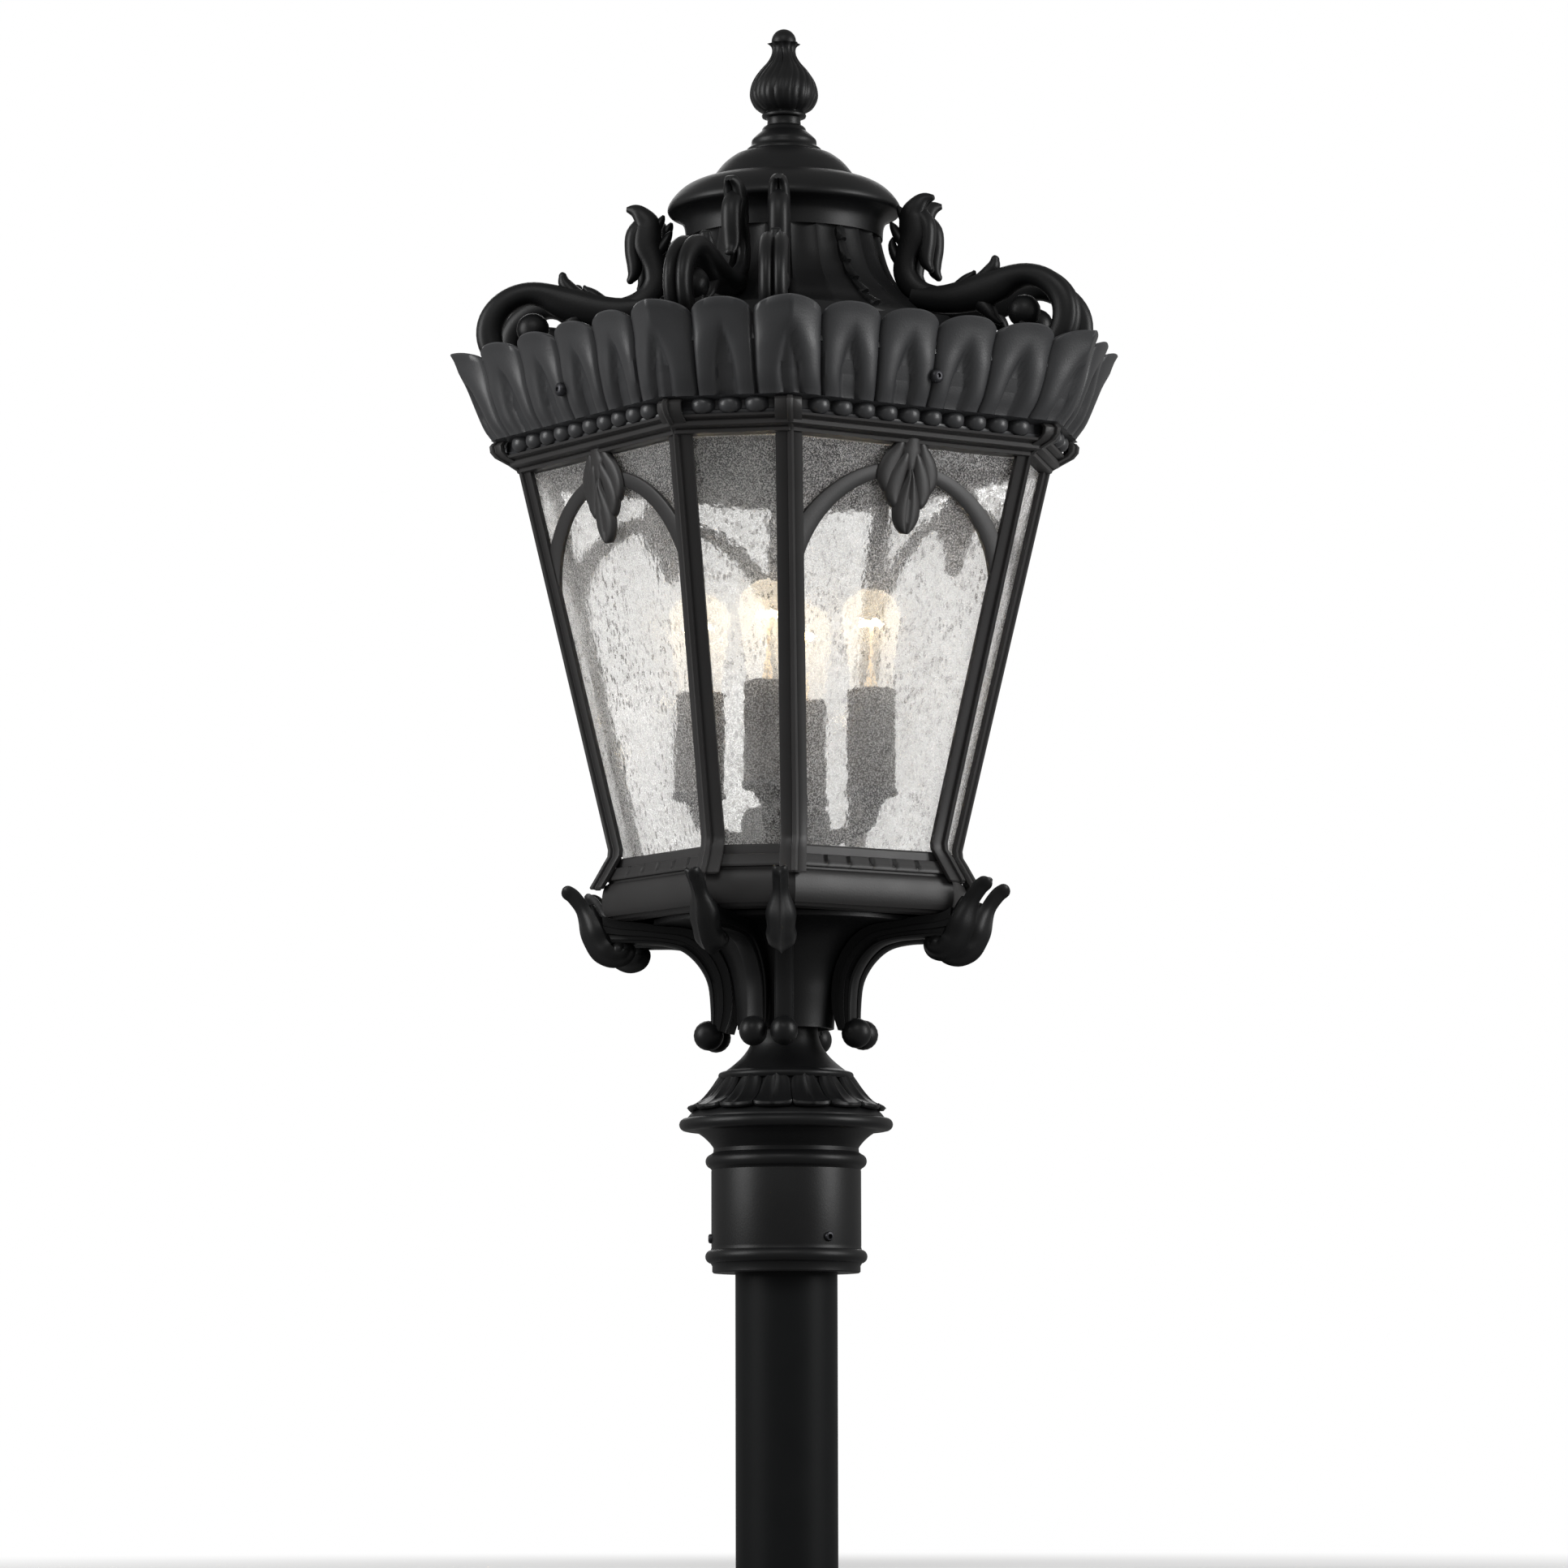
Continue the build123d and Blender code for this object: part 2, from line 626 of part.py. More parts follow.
# Candle sleeves, sockets and bulbs, one set on each cup
sleeve_z = cup_z + cup_height
for number, angle in enumerate(lamp_angles, start=1):
    lamp_spot = turned((lamp_circle, 0), angle)
    with BuildPart() as candle_sleeve:
        with BuildSketch(Plane.XY.offset(sleeve_z)):
            with Locations(lamp_spot):
                RegularPolygon(sleeve_radius, 24)
                RegularPolygon(sleeve_radius - sleeve_wall, 24, mode=Mode.SUBTRACT)
        extrude(amount=sleeve_height)
    candle_sleeve.part.label = f"candle_sleeve_{number}"
    export_step(candle_sleeve.part, f"parts/candle_sleeve_{number}.step")

    with BuildPart() as lamp_socket:
        with BuildSketch(Plane.XY.offset(sleeve_z)):
            with Locations(lamp_spot):
                RegularPolygon(socket_radius, 16)
        extrude(amount=socket_height)
        with BuildSketch(Plane.XY.offset(sleeve_z + socket_height)):
            with Locations(lamp_spot):
                RegularPolygon(socket_bore, 16)
        extrude(amount=-bulb_base_length, mode=Mode.SUBTRACT)
    lamp_socket.part.label = f"lamp_socket_{number}"
    export_step(lamp_socket.part, f"parts/lamp_socket_{number}.step")

    base_z = sleeve_z + socket_height - bulb_base_length
    sleeve_top = sleeve_z + sleeve_height
    globe_z = sleeve_top + bulb_reach - bulb_radius
    bulb_levels = [
        (bulb_base_radius, base_z),
        (bulb_base_radius, base_z + bulb_base_length + slip),
        (bulb_neck_radius, base_z + bulb_base_length + 8),
        (bulb_neck_radius, sleeve_top),
    ]
    bulb_levels += arc_points((0, globe_z), bulb_radius, -25, 65, 5)
    with BuildPart() as bulb:
        turned_form(bulb_levels, 16, lamp_spot)
    bulb.part.label = f"bulb_{number}"
    export_step(bulb.part, f"parts/bulb_{number}.step")

# Centre pipe from the collar's top plate to a nut on the hub
pipe_top = sill_z + hub_height + pipe_nut_height + 3
with BuildPart() as center_pipe:
    with BuildSketch(Plane.XY.offset(collar_z + collar_height - collar_top_plate)):
        Circle(pipe_radius)
        Circle(pipe_bore, mode=Mode.SUBTRACT)
    extrude(amount=pipe_top - (collar_z + collar_height - collar_top_plate))
center_pipe.part.label = "center_pipe"
export_step(center_pipe.part, "parts/center_pipe.step")

with BuildPart() as pipe_nut:
    with BuildSketch(Plane.XY.offset(sill_z + hub_height)):
        RegularPolygon(pipe_nut_flats / 2, 6, major_radius=False)
        Circle(pipe_radius + 0.1, mode=Mode.SUBTRACT)
    extrude(amount=pipe_nut_height)
pipe_nut.part.label = "pipe_nut"
export_step(pipe_nut.part, "parts/pipe_nut.step")

# Crown gallery: petals with two lobes each over a rail of beads, and a ledge for the roof
with BuildPart() as crown_gallery:
    gallery_levels = (
        (gallery_low, gallery_z),
        (gallery_mid, gallery_z + gallery_belly),
        (gallery_high, gallery_z + gallery_height),
    )
    for (flats, z), (next_flats, next_z) in zip(gallery_levels, gallery_levels[1:]):
        for level, height in ((flats, z), (next_flats, next_z)):
            with BuildSketch(Plane.XY.offset(height)):
                Polygon(*petal_ring(level), align=None)
        loft(ruled=True)
    for (flats, z), (next_flats, next_z) in zip(gallery_levels, gallery_levels[1:]):
        for level, height in ((flats, z), (next_flats, next_z)):
            with BuildSketch(Plane.XY.offset(height)):
                Polygon(*octagon(inset(level, gallery_wall)), align=None)
        loft(ruled=True, mode=Mode.SUBTRACT)
    with BuildSketch(Plane.XY.offset(gallery_z)):
        Polygon(*octagon(inset(gallery_low, gallery_wall - 1)), align=None)
        Polygon(*octagon(inset(bead_rail, bead_rail_wall)), align=None, mode=Mode.SUBTRACT)
    extrude(amount=gallery_floor)
    with BuildSketch(Plane.XY.offset(ledge_z)):
        Polygon(*octagon(inset(gallery_flats(ledge_z), gallery_wall - 1)), align=None)
        Polygon(*octagon(inset(gallery_flats(ledge_z), gallery_wall + ledge_width)), align=None,
                mode=Mode.SUBTRACT)
    extrude(amount=gallery_floor)
    with BuildSketch(Plane.XY.offset(roof_z)):
        Polygon(*octagon(bead_rail), align=None)
        Polygon(*octagon(inset(bead_rail, bead_rail_wall)), align=None, mode=Mode.SUBTRACT)
    extrude(amount=gallery_z - roof_z)
    for face in range(8):
        count = (wide_beads, narrow_beads)[face % 2]
        rail = bead_rail[face % 2]
        face_direction = Vector(1, 0, 0).rotate(Axis.Z, 45 * face)
        bead_plane = Plane(origin=(0, 0, gallery_z - bead_height), x_dir=face_direction, z_dir=(0, 0, 1))
        with BuildSketch(bead_plane):
            for place in range(count):
                middle = (place - (count - 1) / 2) * bead_pitch
                Polygon(
                    (rail - 1, middle - bead_width / 2),
                    (rail + bead_depth, middle - bead_width / 4),
                    (rail + bead_depth, middle + bead_width / 4),
                    (rail - 1, middle + bead_width / 2),
                    align=None,
                )
        extrude(amount=bead_height)
        shares = (wide_seams, narrow_seams)[face % 2]
        wide, narrow = gallery_high
        half = (narrow * math.sqrt(2) - wide, wide * math.sqrt(2) - narrow)[face % 2]
        top = gallery_height
        outline = [(top + 5, -half), (top, -half)]
        edges = [-1 - (1 + shares[0])] + list(shares) + [1 + (1 - shares[-1])]
        for low_seam, high_seam in zip(edges, edges[1:]):
            tip = (low_seam + high_seam) / 2
            if low_seam > -1:
                outline += [(top - petal_notch, low_seam * half)]
                outline += [(top - petal_notch / 3, (0.65 * low_seam + 0.35 * high_seam) * half)]
            if abs(tip) < 0.999:
                outline += [(top, tip * half)]
            if high_seam < 1:
                outline += [(top - petal_notch / 3, (0.35 * low_seam + 0.65 * high_seam) * half)]
        outline += [(top, half), (top + 5, half)]
        with BuildSketch(square_plane(45 * face, gallery_z).offset(gallery_high[face % 2] - 14)):
            Polygon(*outline, align=None)
        extrude(amount=24, mode=Mode.SUBTRACT)
    for side in range(4):
        seat_plane = square_plane(90 * side, screw_z).offset(gallery_flats(screw_z)[0])
        with BuildSketch(seat_plane.offset(petal_lobe)):
            RegularPolygon(screw_head + slip, 12)
        extrude(amount=-2 * petal_lobe, mode=Mode.SUBTRACT)
        with BuildSketch(seat_plane):
            RegularPolygon(screw_shank + slip, 8)
        extrude(amount=-2 * gallery_wall, mode=Mode.SUBTRACT)
crown_gallery.part.label = "crown_gallery"
export_step(crown_gallery.part, "parts/crown_gallery.step")

# Roof: an octagonal plate on the gallery's ledge that rises to a fluted bell
plate_z = ledge_z + gallery_floor
plate_top = plate_z + roof_eave
eave = inset(gallery_flats(plate_z), gallery_wall + slip)
with BuildPart() as roof_chimney:
    with BuildSketch(Plane.XY.offset(plate_z)):
        Polygon(*octagon(eave), align=None)
        Polygon(*octagon(inset(roof_shoulder, roof_wall)), align=None, mode=Mode.SUBTRACT)
    extrude(amount=roof_eave)
    with BuildSketch(Plane.XY.offset(plate_top)):
        Polygon(*octagon(roof_shoulder), align=None)
    with BuildSketch(Plane.XY.offset(bell_z)):
        Polygon(*octagon(roof_collar), align=None)
    loft(ruled=True)
    with BuildSketch(Plane.XY.offset(plate_top)):
        Polygon(*octagon(inset(roof_shoulder, roof_wall)), align=None)
    with BuildSketch(Plane.XY.offset(bell_z)):
        Polygon(*octagon(inset(roof_collar, roof_wall + 4)), align=None)
    loft(ruled=True, mode=Mode.SUBTRACT)
    bell_levels = (
        (bell_foot_radius, bell_z - roof_wall),
        (bell_foot_radius, bell_z),
        (bell_foot_radius - 15, bell_z + 11),
        (bell_neck_radius + 10, bell_z + 26),
        (bell_neck_radius + 2, bell_z + 46),
        (bell_neck_radius, cap_z),
    )
    turned_form(bell_levels, flutes)
    hollow_bell = [(radius - flute_depth - roof_wall, z) for radius, z in bell_levels]
    turned_form(hollow_bell, flutes, mode=Mode.SUBTRACT)
roof_chimney.part.label = "roof_chimney"
export_step(roof_chimney.part, "parts/roof_chimney.step")

# Eight roof scrolls: a C-curl with an eye at the gallery and a leaf finger beside the bell
curl_centre = (158.5, plate_top + scroll_curl_radius)
scroll_points = (
    [(92, plate_top + 38), (104, plate_top + 35), (131.5, plate_top + 35)]
    + arc_points((154.5, plate_top + 30), 19.5, 160, -75, 10)
    + arc_points(curl_centre, scroll_curl_radius, -90, 75, 9)
    + [(145, plate_top + 65), (136, plate_top + 69.5), (133.2, plate_top + 58.5)]
    + [(123.4, plate_top + 55.8), (105, plate_top + 52.3), (95, plate_top + 53)]
    + [(86.5, plate_top + 58), (84, plate_top + 72), (91, plate_top + 74.5), (93.5, plate_top + 81)]
    + [(92, plate_top + 97), (98, plate_top + 105.5), (94, plate_top + 110), (86, plate_top + 110)]
    + [(82, plate_top + 104), (75, plate_top + 98), (68.7, plate_top + 92), (74.5, plate_top + 90)]
    + [(76.5, plate_top + 85), (71.7, plate_top + 81), (70.2, plate_top + 70)]
    + [(72.7, plate_top + 60), (76.6, plate_top + 52), (84, plate_top + 44)]
)
for number in range(8):
    side = 45 + 90 * (number // 2) + scroll_angle * (-1, 1)[number % 2]
    with BuildPart() as roof_scroll:
        with BuildSketch(radial_plane(side)):
            Polygon(*scroll_points, align=None)
            with Locations((155.2, plate_top + 33)):
                RegularPolygon(scroll_eye_radius, 14)
            with Locations((156.4, plate_top + 18)):
                Rectangle(7, 30)
        extrude(amount=scroll_width / 2, both=True)
    roof_scroll.part.label = f"roof_scroll_{number + 1}"
    export_step(roof_scroll.part, f"parts/roof_scroll_{number + 1}.step")

# Dome cap over the bell's neck, with a spigot inside it
with BuildPart() as dome_cap:
    cap_levels = (
        (spigot_radius, cap_z - 5),
        (spigot_radius, cap_z),
        (bell_neck_radius + 0.8, cap_z),
        (bell_neck_radius + 0.8, cap_z + 9),
        (cap_radius - 0.7, cap_z + 16),
        (cap_radius, cap_z + 18),
        (cap_radius - 1, cap_z + 22.5),
        (cap_radius - 4, cap_z + 26.5),
        (cap_radius - 10.6, cap_z + 32),
        (cap_radius - 17.6, cap_z + 35),
        (cap_radius - 27, cap_z + 38),
        (cap_radius - 30, cap_z + 42),
        (cap_radius - 38, cap_z + 50.6),
        (cap_radius - 48.8, cap_z + 56.7),
        (cap_radius - 51.5, cap_z + 60),
        (finial_radius - 7, cap_z + cap_height),
    )
    turned_form(cap_levels, round_sides)
    dome_levels = (
        (spigot_radius - cap_wall, cap_z - 5),
        (spigot_radius - cap_wall, cap_z + 12),
        (cap_radius - 6, cap_z + 20),
        (cap_radius - 13, cap_z + 31 - cap_wall),
        (cap_radius - 34, cap_z + 38 - cap_wall),
        (cap_radius - 52, cap_z + 56.7 - cap_wall),
    )
    turned_form(dome_levels, flutes, mode=Mode.SUBTRACT)
    with BuildSketch(Plane.XY.offset(cap_z + cap_height)):
        RegularPolygon(stud_radius + slip, 12, major_radius=False)
    extrude(amount=-cap_height / 3, mode=Mode.SUBTRACT)
dome_cap.part.label = "dome_cap"
export_step(dome_cap.part, "parts/dome_cap.step")

# Finial: a leafy bud with a tapped hole for the stud
with BuildPart() as finial:
    finial_levels = (
        (finial_radius - 10, finial_z),
        (finial_radius - 10, finial_z + 5),
        (finial_radius - 2.5, finial_z + 11),
        (finial_radius, finial_z + 18),
        (finial_radius - 2, finial_z + 27),
        (finial_radius - 9, finial_z + 39),
        (finial_radius - 13, finial_z + 47),
        (finial_radius - 12, finial_z + 52),
        (finial_radius - 13, finial_z + 59),
        (finial_radius - 17, finial_z + finial_height),
    )
    turned_form(finial_levels, 2 * finial_petals)
    with BuildSketch(Plane.XY.offset(finial_z)):
        RegularPolygon(stud_radius + slip, 12, major_radius=False)
    extrude(amount=24, mode=Mode.SUBTRACT)
finial.part.label = "finial"
export_step(finial.part, "parts/finial.step")

# Stud through the dome's crown, with its nut underneath
with BuildPart() as finial_stud:
    stud_foot = cap_z + 56.7 - cap_wall - stud_nut_height - 4
    with BuildSketch(Plane.XY.offset(stud_foot)):
        RegularPolygon(stud_radius, 12)
    extrude(amount=finial_z + 22 - stud_foot)
    with BuildSketch(Plane.XY.offset(cap_z + 56.7 - cap_wall - stud_nut_height)):
        RegularPolygon(stud_nut_radius, 6)
    extrude(amount=stud_nut_height)
finial_stud.part.label = "finial_stud"
export_step(finial_stud.part, "parts/finial_stud.step")

# Round-headed screws through the gallery at the middle of each wide face
with BuildPart() as gallery_screws:
    for side in range(4):
        seat_plane = square_plane(90 * side, screw_z).offset(gallery_flats(screw_z)[0] - petal_lobe)
        with BuildSketch(seat_plane):
            RegularPolygon(screw_head, 12)
        extrude(amount=petal_lobe)
        with BuildSketch(seat_plane):
            RegularPolygon(screw_shank, 8)
        extrude(amount=-8)
gallery_screws.part.label = "gallery_screws"
export_step(gallery_screws.part, "parts/gallery_screws.step")
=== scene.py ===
import math

import bpy
import bmesh
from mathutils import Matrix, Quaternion, Vector


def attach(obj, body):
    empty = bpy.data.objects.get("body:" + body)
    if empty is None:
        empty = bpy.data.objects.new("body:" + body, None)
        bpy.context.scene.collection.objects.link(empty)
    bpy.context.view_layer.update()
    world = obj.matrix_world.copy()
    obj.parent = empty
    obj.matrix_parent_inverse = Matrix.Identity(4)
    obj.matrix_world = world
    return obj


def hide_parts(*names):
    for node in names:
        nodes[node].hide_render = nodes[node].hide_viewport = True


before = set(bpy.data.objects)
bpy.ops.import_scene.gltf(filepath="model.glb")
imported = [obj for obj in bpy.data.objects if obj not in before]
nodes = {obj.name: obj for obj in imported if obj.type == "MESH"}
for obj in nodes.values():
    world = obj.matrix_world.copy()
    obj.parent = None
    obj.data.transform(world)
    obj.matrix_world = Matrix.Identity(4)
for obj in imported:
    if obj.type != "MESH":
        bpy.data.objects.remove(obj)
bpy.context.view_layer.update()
print("frame loaded:", len(nodes), "nodes")

mm = 0.001
seat = {                        # heights above the cut foot of the post, in mm
    "collar": 180.0, "glass": 430.7, "gallery": 689.7, "plate": 727.7, "cap": 815.2, "finial": 887.2,
}
cage = {                        # low and high: from the axis to the wide and the narrow flats, in mm
    "low": (89.8, 101.8), "high": (134.6, 157.4), "rise": 239.0, "legs": (8.8, 9.4), "wall": 3.0,
}


# Small maths
def mix(a, b, t):
    return a + (b - a) * t


def smooth(low, high, x):
    t = min(1.0, max(0.0, (x - low) / (high - low)))
    return t * t * (3 - 2 * t)


def through(points, steps):
    # a rounded line through all the points, whatever each of them holds
    ends = [points[0]] + list(points) + [points[-1]]
    line = []
    for a, b, c, d in zip(ends, ends[1:], ends[2:], ends[3:]):
        for i in range(steps):
            t = i / steps
            line.append(tuple(
                0.5 * (2 * q + (r - p) * t + (2 * p - 5 * q + 4 * r - s) * t * t
                       + (3 * q - p - 3 * r + s) * t ** 3)
                for p, q, r, s in zip(a, b, c, d)))
    return line + [tuple(points[-1])]


def arc(centre, radius, start, end, steps):
    turns = [math.radians(mix(start, end, i / steps)) for i in range(steps + 1)]
    return [(centre[0] + radius * math.cos(a), centre[1] + radius * math.sin(a)) for a in turns]


def halfSides(flats):
    wide, narrow = flats
    return narrow * math.sqrt(2) - wide, wide * math.sqrt(2) - narrow


def onFace(face, out, along, z):
    a = math.radians(45 * face)
    return (out * math.cos(a) - along * math.sin(a), out * math.sin(a) + along * math.cos(a), z)


def octagonRow(flats, z, perSide=1):
    halves = halfSides(flats)
    row = []
    for face in range(8):
        half = halves[face % 2]
        for i in range(perSide):
            row.append(onFace(face, flats[face % 2], mix(-half, half, i / perSide), z))
    return row


# Meshes: every shape is a pair, its points in mm and its faces
def rows(rings, wrap=False):
    count = len(rings[0])
    points = [p for ring in rings for p in ring]
    faces = []
    for i in range(len(rings) if wrap else len(rings) - 1):
        a, b = i * count, (i + 1) % len(rings) * count
        faces += [(a + j, a + (j + 1) % count, b + (j + 1) % count, b + j) for j in range(count)]
    if not wrap:
        last = (len(rings) - 1) * count
        faces += [tuple(range(count))[::-1], tuple(range(last, last + count))]
    return points, faces


def join(*shapes):
    points, faces = [], []
    for somePoints, someFaces in shapes:
        faces += [tuple(i + len(points) for i in face) for face in someFaces]
        points += somePoints
    return points, faces


def lathe(profile, sides, spot=(0, 0), relief=None, wrap=False):
    # profile: (radius, z) up the form; relief: extra radius at (degrees, index in the profile)
    rings = []
    for index, (radius, z) in enumerate(profile):
        ring = []
        for i in range(sides):
            turn = 360 * i / sides
            r = radius + (relief(turn, index) if relief else 0)
            a = math.radians(turn)
            ring.append((spot[0] + r * math.cos(a), spot[1] + r * math.sin(a), z))
        rings.append(ring)
    return rows(rings, wrap)


def inPlane(angle, out, z, side):
    # a point of a radial plane, moved square to the plane by side
    a = math.radians(angle)
    return (out * math.cos(a) - side * math.sin(a), out * math.sin(a) + side * math.cos(a), z)


def sweep(angle, path, section):
    # path: (out, z, half thickness, half width); section: (across the thickness, across the width)
    rings = []
    for i, (out, z, thick, width) in enumerate(path):
        before, after = path[max(i - 1, 0)], path[min(i + 1, len(path) - 1)]
        run = Vector((after[0] - before[0], after[1] - before[1])).normalized()
        rings.append([inPlane(angle, out - run.y * a * thick, z + run.x * a * thick, b * width)
                      for a, b in section])
    return rows(rings)


def ball(angle, out, z, radius, width):
    rings = []
    turns = [math.tau * j / 20 for j in range(20)]
    for i in range(1, 14):
        t = math.pi * i / 14
        reach = radius * math.sin(t)
        rings.append([inPlane(angle, out + reach * math.cos(a), z + reach * math.sin(a), width * math.cos(t))
                      for a in turns])
    return rows(rings)


def lifted(line, height):
    # a profile or a path, moved up
    return [(out, z + height, *size) for out, z, *size in line]


def blunt(path, steps=5):
    # a swept path whose end is rounded off
    (x0, z0, *_), (x1, z1, thick, width) = path[-2:]
    run = Vector((x1 - x0, z1 - z0)).normalized() * thick
    ends = []
    for i in range(1, steps + 1):
        a = math.pi / 2 * i / steps
        share = max(math.cos(a), 0.1)
        ends.append((x1 + run.x * math.sin(a), z1 + run.y * math.sin(a), thick * share,
                     width * mix(0.4, 1, share)))
    return list(path) + ends


roundSection = [(math.sin(math.tau * i / 14), math.cos(math.tau * i / 14)) for i in range(14)]
lobedSection = [(-0.9, -0.6), (-1, -0.3), (-1, 0.3), (-0.9, 0.6), (-0.6, 0.88), (0, 1), (0.5, 0.95),
                (0.84, 0.78), (1, 0.5), (0.94, 0.26), (0.72, 0.08), (0.58, 0), (0.72, -0.08),
                (0.94, -0.26), (1, -0.5), (0.84, -0.78), (0.5, -0.95), (0, -1), (-0.6, -0.88)]
halfLeaf = [(0.82, 0.1), (0.55, 0.34), (0.36, 0.62), (0.02, 0.88), (-0.5, 1), (-0.95, 0.92),
            (-0.9, 0.66), (-0.6, 0.36)]
leafSection = [(1, 0)] + halfLeaf + [(-0.5, 0)] + [(a, -b) for a, b in reversed(halfLeaf)]


def piece(name, shape, finish, body, stands=(), edge=38):
    mesh = bpy.data.meshes.new(name)
    mesh.from_pydata([(x * mm, y * mm, z * mm) for x, y, z in shape[0]], [], shape[1])
    work = bmesh.new()
    work.from_mesh(mesh)
    bmesh.ops.remove_doubles(work, verts=work.verts, dist=1e-6)
    bmesh.ops.dissolve_degenerate(work, edges=work.edges, dist=1e-7)
    bmesh.ops.recalc_face_normals(work, faces=work.faces)
    work.to_mesh(mesh)
    work.free()
    mesh.polygons.foreach_set("use_smooth", [True] * len(mesh.polygons))
    mesh.set_sharp_from_angle(angle=math.radians(edge))
    made = bpy.data.objects.new(name, mesh)
    bpy.context.scene.collection.objects.link(made)
    mesh.materials.append(finish)
    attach(made, body)
    if stands:
        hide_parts(*stands)


# Finishes
class Wire:
    # a shader socket that can be added, multiplied and so on
    def __init__(self, look, socket):
        self.look, self.socket = look, socket

    def math(self, operation, *others):
        return self.look.add("Math", {"operation": operation}, *(self, *others))

    def __add__(self, other):
        return self.math("ADD", other)

    def __mul__(self, other):
        return self.math("MULTIPLY", other)

    def __pow__(self, other):
        return self.math("POWER", other)

    def __gt__(self, other):
        return self.math("GREATER_THAN", other)

    __radd__ = __add__

    def between(self, low, high):
        return self.look.add("MapRange", {"interpolation_type": "SMOOTHSTEP"}, self, low, high)

    def out(self, name):
        return Wire(self.look, self.socket.node.outputs[name])


class Look:
    # one finish; its nodes come from add()
    def __init__(self, name, holder=None):
        self.holder = holder or bpy.data.materials.new(name)
        self.holder.use_nodes = True
        self.tree = self.holder.node_tree
        self.tree.nodes.clear()

    def add(self, kind, settings=None, *inputs, **named):
        node = self.tree.nodes.new("ShaderNode" + kind)
        for key, value in (settings or {}).items():
            setattr(node, key, value)
        for key, value in [*enumerate(inputs), *named.items()]:
            socket = self.find(node.inputs, key)
            if isinstance(value, Wire):
                self.tree.links.new(value.socket, socket)
            elif value is not None:
                socket.default_value = value
        return Wire(self, next((o for o in node.outputs if o.enabled), None))

    def find(self, sockets, key):
        # a socket by its number, its identifier or its name
        if isinstance(key, int):
            return sockets[key]
        return next((s for s in sockets if s.identifier == key), None) or sockets[key.replace("_", " ")]

    def grain(self, scale, detail=3.0, roughness=0.5, stretch=None):
        place = self.add("TexCoord").out("Object")
        if stretch:
            place = self.add("Mapping", Vector=place, Scale=stretch)
        return self.add("TexNoise", Vector=place, Scale=scale, Detail=detail, Roughness=roughness)

    def tint(self, share, low, high):
        return self.add("Mix", {"data_type": "RGBA"}, Factor=share, A_Color=(*low, 1), B_Color=(*high, 1))

    def show(self, shader):
        self.add("OutputMaterial", {}, shader)
        return self.holder


def castFinish(name, colour, roughness, shine, textureSize, textureDepth):
    # powder-coated casting: fine orange peel, cloudy sheen, and a painted highlight that lightens the edges
    look = Look(name)
    peel = look.grain(1 / textureSize, 2.0, 0.55)
    cloud = look.grain(38.0, 3.0)
    # sharp edges made lighter: a painted highlight
    paintedEdgeHighlight = look.add("NewGeometry").out("Pointiness").between(0.52, 0.60) * 0.5
    dust = look.grain(260.0, 4.0, 0.7).between(0.62, 0.8) * 0.25
    light = tuple(c * 1.7 + 0.004 for c in colour)
    base = look.tint(cloud * 0.3 + dust + paintedEdgeHighlight, colour, light)
    rough = cloud * 0.16 + (roughness - 0.08) + dust * 0.1
    bump = look.add("Bump", Height=peel + cloud * 0.4, Strength=0.5, Distance=textureDepth)
    return look.show(look.add("BsdfPrincipled", Base_Color=base, Roughness=rough, Normal=bump,
                              Specular_IOR_Level=shine))


def seededGlass(name):
    # old-style glass: clear and a little wavy, with fine frosted specks and long seeds painted dark as shade
    # for the light they bend away
    look = Look(name)
    place = look.add("TexCoord").out("Object")
    tall = look.add("Mapping", Vector=place, Scale=(1, 1, 0.42))
    seeds = look.add("TexVoronoi", {"feature": "F1"}, Vector=tall, Scale=370.0, Randomness=1.0)
    group = look.grain(26.0, 3.0, 0.6, (1, 1, 0.6)).between(0.38, 0.68)
    # the seeds are tinted dark: painted shade standing in for the light that bubbles bend away
    seedShade = seeds.between(0.42, 0.32) * (look.grain(150.0, 2.0) > 0.5) * (group * 0.75 + 0.25)
    speck = look.grain(1100.0, 2.0, 0.6).between(0.53, 0.60)
    cloud = look.grain(34.0, 4.0, 0.65, (1, 1, 0.5)).between(0.36, 0.7)
    wave = look.grain(75.0, 3.0, 0.55, (1, 1, 0.7)) + look.grain(330.0, 2.0) * 0.22
    bump = look.add("Bump", Height=wave, Strength=1.0, Distance=0.00034)
    pitted = look.add("Bump", Height=look.grain(700.0, 3.0, 0.7), Strength=1.0, Distance=0.0008)
    clear = look.add("BsdfPrincipled", Roughness=0.0, Normal=bump, Transmission_Weight=1.0, IOR=1.3,
                     Base_Color=look.tint(seedShade, (0.99, 0.99, 0.985), (0.14, 0.13, 0.12)))
    frost = look.add("BsdfPrincipled", Base_Color=(0.93, 0.91, 0.89, 1), Roughness=0.5, Normal=pitted,
                     Transmission_Weight=0.5, IOR=1.3)
    return look.show(look.add("MixShader", {}, 0.06 + cloud * 0.10 + speck * 0.50, clear, frost))


def clearGlass(name):
    # thin bulb glass: see-through in the middle, with a faint painted glow from inside that is brightest
    # along the outline
    look = Look(name)
    dust = look.grain(300.0, 3.0)
    edge = look.add("LayerWeight", Blend=0.3).out("Facing")
    skin = look.add("BsdfPrincipled", Base_Color=(1, 0.97, 0.92, 1), Roughness=dust * 0.04 + 0.04,
                    Emission_Color=(1, 0.93, 0.82, 1), Emission_Strength=0.6)
    clear = look.add("BsdfTransparent", {})
    return look.show(look.add("MixShader", {}, edge ** 2 * 0.5 + 0.14, clear, skin))


def glowFinish(name, colour, strength):
    look = Look(name)
    flicker = look.grain(500.0, 2.0)
    warm = look.tint(flicker, colour, tuple(min(1.0, c * 1.15) for c in colour))
    return look.show(look.add("BsdfPrincipled", Base_Color=(0.8, 0.6, 0.4, 1), Roughness=0.4,
                              Emission_Color=warm, Emission_Strength=strength))


